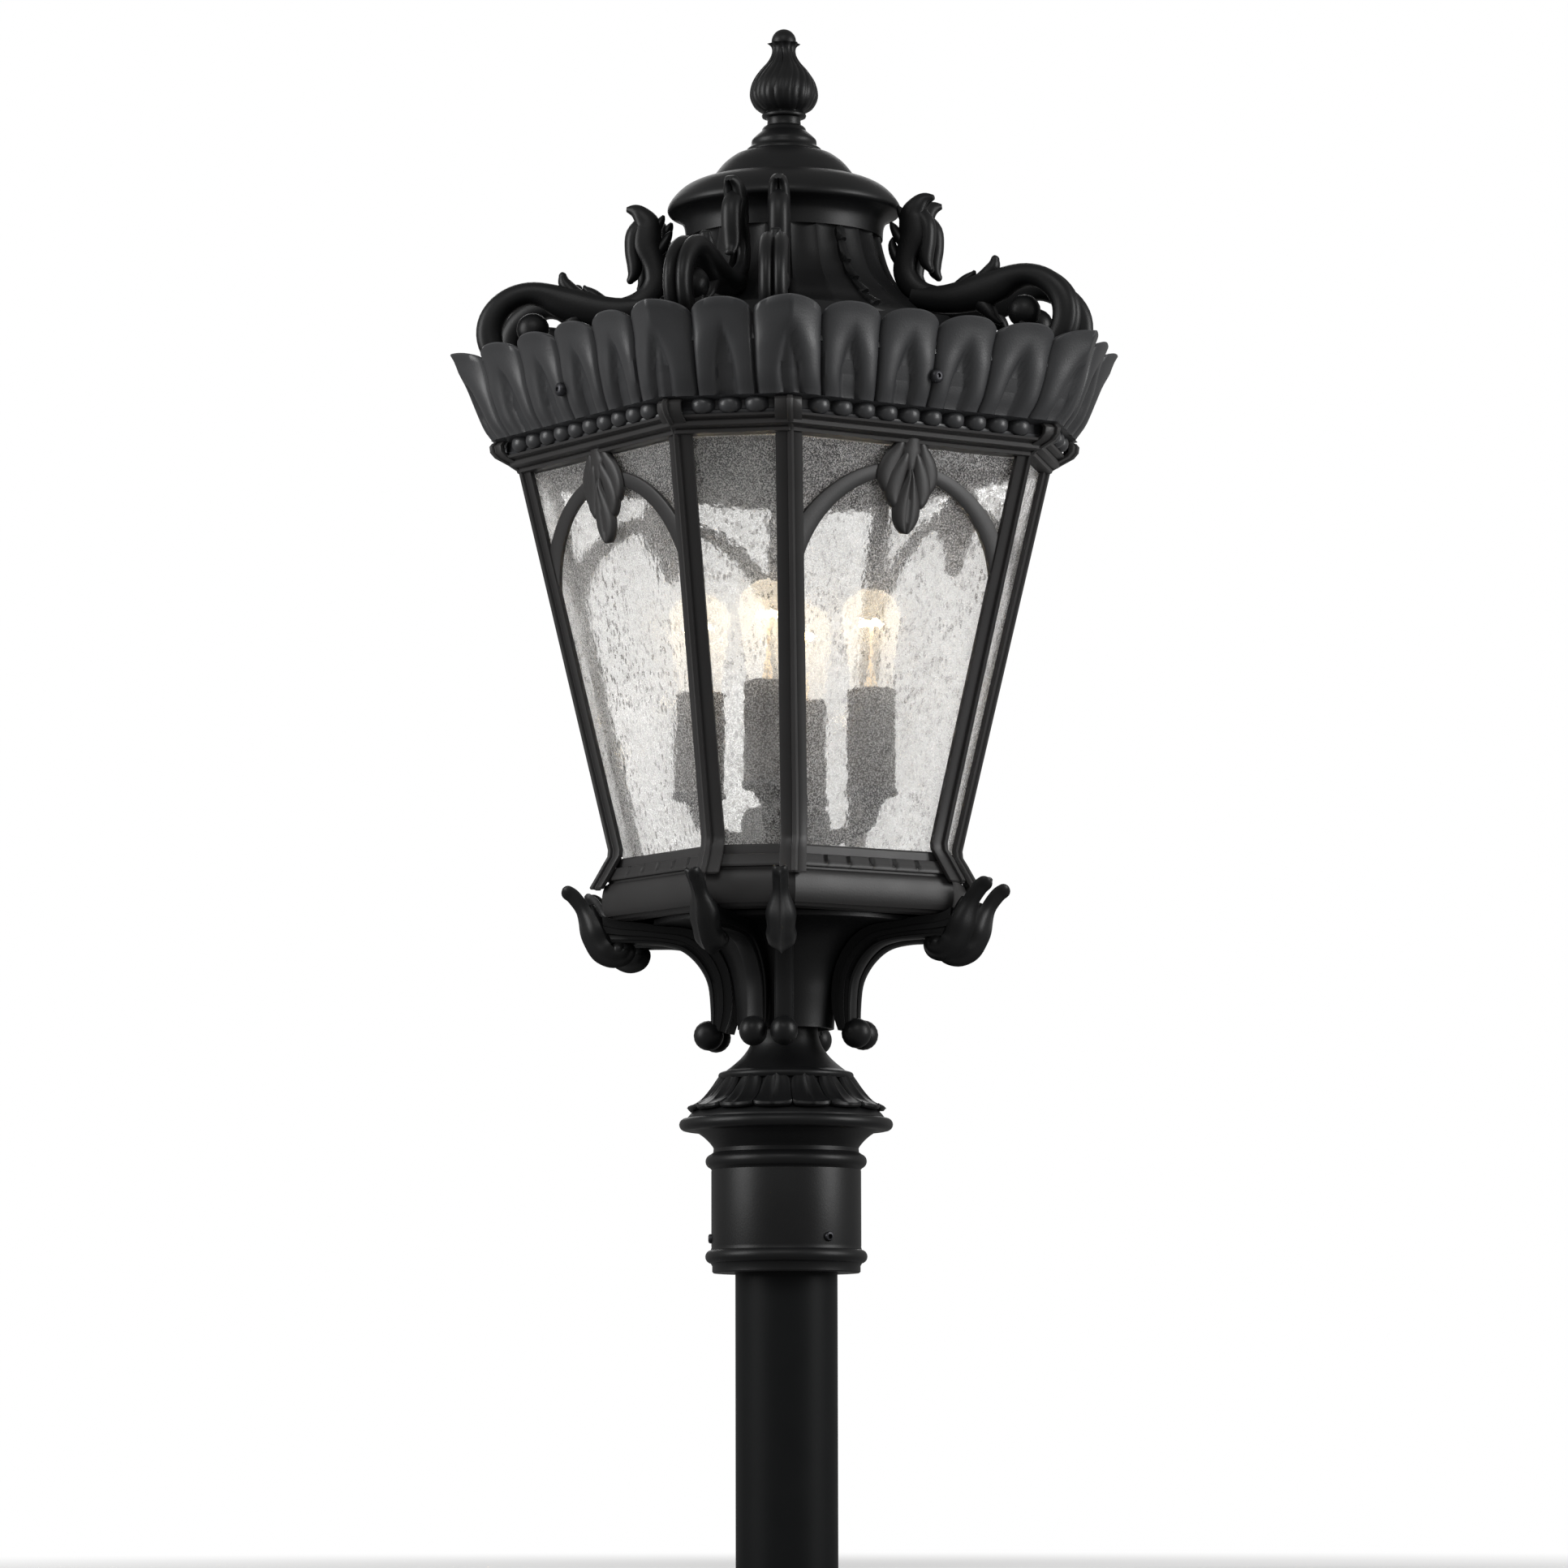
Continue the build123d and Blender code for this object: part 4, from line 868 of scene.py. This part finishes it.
def beadShapes():
    egg = [(0.0, 0.6), (0.07, 0.84), (0.22, 0.97), (0.42, 1.0), (0.66, 0.95), (0.86, 0.74), (0.97, 0.4),
           (1.0, 0.06)]
    shapes = []
    for face in range(8):
        out, count = gallery["rail"][face % 2] - 0.6, gallery["beads"][face % 2]
        for i in range(count):
            middle = (i - (count - 1) / 2) * gallery["beadPitch"]
            rings = []
            for drop, full in egg:
                ring = []
                z = seat["gallery"] - 0.2 - 9.6 * drop
                for k in range(15):
                    a = math.pi * k / 14
                    ring.append(onFace(face, out + 7.2 * full * math.sin(a),
                                       middle + 7.3 * full * math.cos(a), z))
                rings.append(ring)
            shapes.append(rows(rings))
    return join(*shapes)


def railShape():
    line = [(680.0, 0.0), (680.8, 0.6), (682.2, 0.6), (683.0, -0.4), (688.0, -0.4), (688.6, 1.0),
            (689.9, 8.8), (689.9, -8.0), (680.0, -8.0)]
    rail = rows([octagonRow(grown(gallery["rail"], off), z, 2) for z, off in line], wrap=True)
    floor = [(689.7, -4.0), (692.7, -4.0), (692.7, -15.5), (689.7, -15.5)]
    ledge = [(720.7, -4.4), (723.7, -4.4), (723.7, -11.0), (720.7, -11.0)]
    return join(rail,
                rows([octagonRow(grown(galleryFlats(0.0), off), z) for z, off in floor], wrap=True),
                rows([octagonRow(grown(galleryFlats(31.0), off), z) for z, off in ledge], wrap=True))


galleryParts = join(galleryShape(), beadShapes(), railShape())
piece("galleryCasting", galleryParts, petalBlackPaintedLight, "roof", ["crown_gallery"], edge=48)
print("gallery made")


# Screws through the gallery
screwHead = [(1.8, -8.0), (1.8, -1.0), (4.2, -1.0), (4.2, 1.2), (3.6, 2.2), (2.4, 2.8), (1.4, 2.9),
             (1.1, 1.6), (0.2, 1.6)]


def screwShape():
    # a domed head with a socket, at the middle of each wide side
    out, z = galleryFlats(gallery["screws"])[0] + 0.4, seat["gallery"] + gallery["screws"]
    turns = [math.tau * k / 24 for k in range(24)]
    shapes = []
    for face in range(0, 8, 2):
        shapes.append(rows([[onFace(face, out + lift, radius * math.cos(a), z + radius * math.sin(a))
                             for a in turns] for radius, lift in screwHead]))
    return join(*shapes)


piece("galleryScrews", screwShape(), screwSteel, "roof", ["gallery_screws"])


# Roof plate and fluted bell
bell = {"flutes": 24, "depth": 2.4, "scales": 5, "firstScale": 0.12, "scalePitch": 0.165}
bellLine = through([
    (100.0, 755.8), (99.0, 760.0), (90.0, 766.0), (84.0, 771.6), (76.4, 778.6), (70.0, 786.0),
    (65.4, 795.0), (62.4, 804.6), (60.6, 812.0), (60.0, 815.2),
], 3)


def bellRelief(turn, index):
    if index >= len(bellLine):
        return 0.0
    phase = (turn * bell["flutes"] / 360) % 1.0
    channel = math.sin(math.pi * phase) ** 0.7
    fade = smooth(0, 5, index)
    return -bell["depth"] * channel * fade


plateTop = grown(galleryFlats(34.0), -5.6)
plateLine = [(723.7, plateTop), (727.7, plateTop), (727.9, (118.0, 138.0)), (744.0, (108.0, 122.0)),
             (758.8, (98.4, 107.6)), (759.2, (88.0, 92.0)), (756.0, (88.0, 92.0)), (727.0, (114.6, 134.0)),
             (723.7, (115.0, 134.6))]
bellInside = [(55.6, 815.2), (56.4, 806.0), (62.0, 790.0), (72.0, 775.0), (84.0, 763.0), (92.0, 755.8)]


def ridgeScales(side):
    # a notched ridge up the bell over a wide face: overlapping scales that step outward
    shapes = []
    for step in range(bell["scales"]):
        low = bell["firstScale"] + step * bell["scalePitch"]
        high = low + 1.25 * bell["scalePitch"]
        rings = []
        for k in range(9):
            t = k / 8
            place = mix(low, high, t) * (len(bellLine) - 1)
            at = min(int(place), len(bellLine) - 2)
            r, z = (mix(a, b, place - at) for a, b in zip(bellLine[at], bellLine[at + 1]))
            half = 2.7 * math.sqrt(max(0.0, 1 - (2 * t - 0.8) ** 2 / 1.5)) + 0.3
            rise = 3.4 * (1 - t) + 0.4
            outline = [(-half, -2.6), (-half, rise * 0.4), (-half * 0.55, rise * 0.9), (0, rise),
                       (half * 0.55, rise * 0.9), (half, rise * 0.4), (half, -2.6)]
            rings.append([inPlane(90 * side, r + out, z + out * 0.5, s) for s, out in outline])
        shapes.append(rows(rings))
    return join(*shapes)


roofShape = join(
    rows([octagonRow(flats, z, 2) for z, flats in plateLine], wrap=True),
    lathe(bellLine + bellInside, 240, relief=bellRelief, wrap=True),
    *[ridgeScales(side) for side in range(4)],
)
piece("roofBell", roofShape, bodyBlackPaintedShade, "roof", ["roof_chimney"], edge=40)
print("roof made")


# Eight roof scrolls
scroll = {"turn": 9.0, "eye": 10.2}
scrollFoot = seat["plate"]      # heights in the lists below count from here
curlPath = through([
    (84.0, 47.0, 6.4, 6.6), (92.0, 45.2, 7.2, 7.0), (104.0, 43.8, 8.4, 7.4), (117.0, 44.8, 9.6, 7.8),
    (129.0, 47.4, 10.4, 8.2), (139.0, 50.6, 9.4, 8.4), (148.2, 54.4, 7.4, 8.6), (157.6, 55.6, 6.6, 8.6),
    (167.2, 53.0, 6.8, 8.6), (175.4, 47.0, 7.3, 8.6), (180.6, 38.8, 7.8, 8.6), (182.0, 29.6, 8.0, 8.6),
    (179.8, 20.6, 7.7, 8.6), (174.0, 12.8, 7.2, 8.4), (166.6, 7.6, 6.4, 8.2), (158.0, 5.8, 5.6, 7.8),
    (150.6, 7.0, 4.6, 7.0), (145.4, 10.4, 3.2, 5.6), (143.0, 14.0, 1.6, 3.4),
], 3)
hornPath = through([
    (126.0, 52.0, 5.4, 5.8), (132.0, 57.4, 5.0, 5.4), (135.8, 62.4, 4.0, 4.8), (136.8, 66.4, 2.6, 3.6),
], 4)
clawPath = through([
    (128.0, 40.0, 5.6, 6.6), (133.0, 34.6, 4.6, 6.0), (136.4, 30.0, 3.0, 4.8), (140.6, 26.6, 1.2, 2.2),
], 4)
budPath = through([
    (112.0, 50.0, 4.0, 4.6), (118.0, 54.8, 3.6, 4.4), (122.4, 58.2, 2.2, 3.2), (123.6, 60.6, 0.7, 1.2),
], 4)
hangPath = through([
    (86.0, 99.0, 6.0, 5.6), (92.4, 92.0, 5.6, 6.0), (93.6, 82.0, 5.0, 6.0), (92.4, 73.0, 4.8, 5.8),
    (92.8, 67.4, 4.0, 5.0), (95.0, 63.6, 2.4, 3.4),
], 4)
neckPath = through([
    (100.0, 46.0, 6.0, 5.8), (91.0, 48.4, 6.8, 6.0), (83.0, 54.0, 7.2, 6.2), (79.0, 62.0, 7.2, 6.4),
    (79.4, 70.0, 7.0, 6.6), (81.6, 77.0, 7.4, 6.8), (84.6, 85.0, 8.8, 7.0), (84.4, 92.0, 8.8, 7.0),
    (84.4, 98.4, 7.8, 6.8), (88.6, 104.4, 5.6, 6.2), (92.6, 107.2, 3.8, 4.8), (97.4, 108.0, 1.4, 2.4),
], 4)
scalePaths = [
    through([(78.0, 66.0, 3.4, 4.8), (73.0, 73.0, 3.6, 4.6), (70.6, 80.0, 2.6, 3.6),
             (71.4, 84.6, 0.9, 1.4)], 3),
    through([(80.0, 78.0, 3.4, 4.8), (75.0, 85.0, 3.6, 4.6), (71.4, 91.0, 2.4, 3.4),
             (69.6, 94.0, 0.9, 1.4)], 3),
    through([(82.0, 89.0, 3.4, 4.8), (78.4, 96.4, 3.4, 4.4), (75.6, 101.4, 2.2, 3.2),
             (74.4, 104.0, 0.8, 1.2)], 3),
]


def scrollShape(angle):
    shapes = [sweep(angle, lifted(curlPath, scrollFoot), lobedSection)]
    for path in (blunt(hornPath), blunt(hangPath), clawPath, budPath, *scalePaths):
        shapes.append(sweep(angle, lifted(path, scrollFoot), roundSection))
    shapes.append(sweep(angle, lifted(neckPath, scrollFoot), [(-a, b) for a, b in lobedSection]))
    shapes.append(ball(angle, 155.2, scrollFoot + 33.3, scroll["eye"], 8.8))
    strut = [(155.2, 12.0, 3.6, 6.6), (155.2, 20.0, 3.2, 6.0), (155.2, 28.0, 4.2, 6.6)]
    shapes.append(sweep(angle, lifted(strut, scrollFoot), roundSection))
    return join(*shapes)


for i in range(8):
    angle = 45 + 90 * (i // 2) + scroll["turn"] * (-1, 1)[i % 2]
    piece(f"roofScroll{i + 1}", scrollShape(angle), bodyBlackPaintedShade, "roof",
          [f"roof_scroll_{i + 1}"], edge=45)
print("scrolls made")


# Dome cap and finial
capLine = (
    [(50.0, -5.0), (54.6, -5.0), (54.6, 0.0), (60.8, 0.0), (60.8, 0.8)]
    + through([(60.9, 2.0), (61.2, 6.0), (62.4, 10.0), (65.4, 13.4), (69.4, 15.6)], 3)
    + through([(71.0, 16.2), (72.0, 18.0), (71.4, 21.0), (69.0, 24.8), (65.8, 28.4),
               (61.6, 31.8), (56.0, 34.6), (49.4, 36.6), (46.0, 37.0)], 3)
    + through([(44.9, 37.2), (44.3, 38.2), (42.4, 41.2), (37.4, 47.4), (31.4, 52.2),
               (28.0, 53.8), (24.6, 54.6)], 3)
    + through([(23.4, 55.4), (22.9, 57.0), (20.8, 58.6), (20.2, 60.2), (20.0, 62.4),
               (18.6, 64.2), (16.0, 66.6), (13.9, 68.4)], 3)
    + [(13.4, 70.0), (12.6, 71.0), (11.2, 71.9), (4.6, 71.9), (4.6, 50.0), (30.0, 44.0),
       (56.0, 30.0), (64.0, 20.0), (50.0, 8.0)]
)
capShape = lathe(lifted(capLine, seat["cap"]), 168, wrap=True)
piece("domeCap", capShape, bodyBlackPaintedShade, "roof", ["dome_cap"])

finialNeck = [(4.4, 0.0), (10.4, 0.0), (10.4, 1.0), (10.2, 3.0), (10.8, 4.4), (13.4, 5.2), (13.8, 6.2),
              (13.4, 7.2), (12.6, 7.6)]
finialBud = through([
    (13.2, 8.2), (17.4, 10.6), (20.2, 14.8), (21.2, 19.4), (20.4, 25.0), (18.2, 30.0), (14.6, 35.0),
    (10.6, 39.6), (8.2, 43.8), (7.4, 47.4), (8.0, 50.0), (8.8, 51.6),
], 4)
finialKnob = [(7.6, 51.8), (7.0, 51.4)] + arc((0.0, 53.2), 7.6, -20, 88, 12)


def finialRelief(turn, index):
    # eight long petals with a wandering vein, cut deeper where the bud is widest
    t = (index - len(finialNeck)) / (len(finialBud) - 1)
    if not 0 <= t <= 1:
        return 0.0
    swing = 7 * math.sin(t * 7.0)
    p = (((turn + swing) / 45) % 1.0) * 2 - 1
    body = math.sqrt(max(0.0, 1 - abs(p) ** 2.4)) - 1
    vein = -0.55 * math.exp(-((abs(p) - 0.36) / 0.13) ** 2) * math.sin(math.pi * min(1.0, t * 1.25))
    tip = 1.6 * smooth(0.88, 1.0, t) * (1 - abs(p))
    return 1.5 * math.sin(math.pi * min(1, t * 0.9 + 0.1)) ** 0.5 * body + 1.2 * vein + tip


finialLine = lifted(finialNeck + finialBud + finialKnob, seat["finial"])
finialShape = lathe(finialLine, 160, relief=finialRelief)
piece("finialBud", finialShape, bodyBlackPaintedShade, "finial", ["finial"], edge=48)
print("cap and finial made")


# Set screws in the collar
setScrew = {"height": 20.8, "angles": (-90, 30, 150)}
setScrewLine = [(31.4, 1.6), (32.4, 2.9), (45.6, 2.9), (46.4, 2.9), (47.2, 2.4), (47.4, 1.6), (45.4, 1.3),
                (45.4, 0.2)]
for i, angle in enumerate(setScrew["angles"], start=1):
    z = seat["collar"] + setScrew["height"]
    turns = [math.tau * k / 20 for k in range(20)]
    rings = [[inPlane(angle, out, z + radius * math.sin(a), radius * math.cos(a)) for a in turns]
             for out, radius in setScrewLine]
    piece(f"collarScrew{i}", rows(rings), screwSteel, f"set_screw_{i}", [f"set_screw_{i}"])
print("screws made")


# Floor, light and camera
studio = {                      # metres and degrees; the focal length and the frame in pixels
    "floorRadius": 1.4, "lampAim": 0.55, "azimuth": -33.9, "away": 3.879, "height": 0.0575,
    "aside": 0.0124, "tiltUp": 6.19, "roll": -0.12, "focal": 7867.0, "frame": 1932,
}


def whiteGround():
    # pale floor that keeps the shadow near the post and fades to the background's white
    look = Look("whiteGround")
    seen = look.add("LightPath")
    place = look.add("TexCoord").out("Object")
    far = look.add("VectorMath", {"operation": "LENGTH"}, place).out("Value").between(0.25, 1.1)
    grain = look.grain(60.0, 3.0)
    colour = look.tint(grain, (0.90, 0.90, 0.90), (0.93, 0.93, 0.93))
    pale = look.add("BsdfPrincipled", Base_Color=colour, Roughness=0.9)
    dim = look.add("BsdfDiffuse", Color=(0.25, 0.25, 0.25, 1))
    glow = look.add("Emission", Color=(1, 1, 1, 1), Strength=1.0)
    inView = seen.out("Is Camera Ray")
    near = look.add("MixShader", {}, inView, dim, pale)
    return look.show(look.add("MixShader", {}, far * inView, near, glow))


rim = [(x, y, 0) for x, y in arc((0, 0), studio["floorRadius"], 0, 356.25, 95)]
ground = bpy.data.meshes.new("groundDisc")
ground.from_pydata(rim, [], [tuple(range(len(rim)))])
ground.materials.append(whiteGround())
floor = bpy.data.objects.new("groundDisc", ground)
bpy.context.scene.collection.objects.link(floor)

world = bpy.data.worlds.new("studio")
bpy.context.scene.world = world
sky = Look("studio", world)
seen = sky.add("LightPath")
plain = sky.add("Background", Color=(1.0, 0.99, 0.98, 1), Strength=0.24)
shine = sky.add("Background", Color=(1.0, 0.99, 0.98, 1), Strength=0.26)
white = sky.add("Background", Color=(1, 1, 1, 1), Strength=1.0)
soft = sky.add("MixShader", {}, seen.out("Is Glossy Ray"), plain, shine)
clearView = seen.out("Is Camera Ray").math("MAXIMUM", seen.out("Is Transmission Ray"))
sky.add("OutputWorld", {}, sky.add("MixShader", {}, clearView, soft, white))


def lamp(name, azimuth, height, distance, size, power):
    light = bpy.data.lights.new(name, "AREA")
    light.shape, light.size, light.size_y, light.energy = "RECTANGLE", size[0], size[1], power
    holder = bpy.data.objects.new(name, light)
    a = math.radians(azimuth)
    holder.location = (distance * math.sin(a), -distance * math.cos(a), height)
    aim = Vector((0, 0, studio["lampAim"])) - holder.location
    holder.rotation_mode = "QUATERNION"
    holder.rotation_quaternion = aim.to_track_quat("-Z", "Y")
    bpy.context.scene.collection.objects.link(holder)


lamp("keyBox", -105, 1.1, 1.9, (0.9, 1.4), 24)
lamp("fillBox", 38, 1.0, 2.0, (0.8, 1.2), 25)
lamp("frontBox", -40, 2.2, 2.3, (1.4, 0.9), 11)
lamp("backBox", 150, 1.6, 2.2, (1.6, 1.2), 12)

camera = bpy.data.cameras.new("camera")
camera.lens = studio["focal"] / studio["frame"] * camera.sensor_width
viewer = bpy.data.objects.new("camera", camera)
a, tilt = math.radians(studio["azimuth"]), math.radians(studio["tiltUp"])
viewer.location = (studio["away"] * math.sin(a), -studio["away"] * math.cos(a), studio["height"])
a += math.radians(studio["aside"])
viewer.rotation_mode = "QUATERNION"
sight = Vector((-math.sin(a) * math.cos(tilt), math.cos(a) * math.cos(tilt), math.sin(tilt)))
roll = Quaternion((0, 0, 1), math.radians(studio["roll"]))
viewer.rotation_quaternion = sight.to_track_quat("-Z", "Y") @ roll
camera.clip_end = 50
bpy.context.scene.collection.objects.link(viewer)
bpy.context.scene.camera = viewer
bpy.context.scene.view_settings.view_transform = "Standard"
print("stage set")
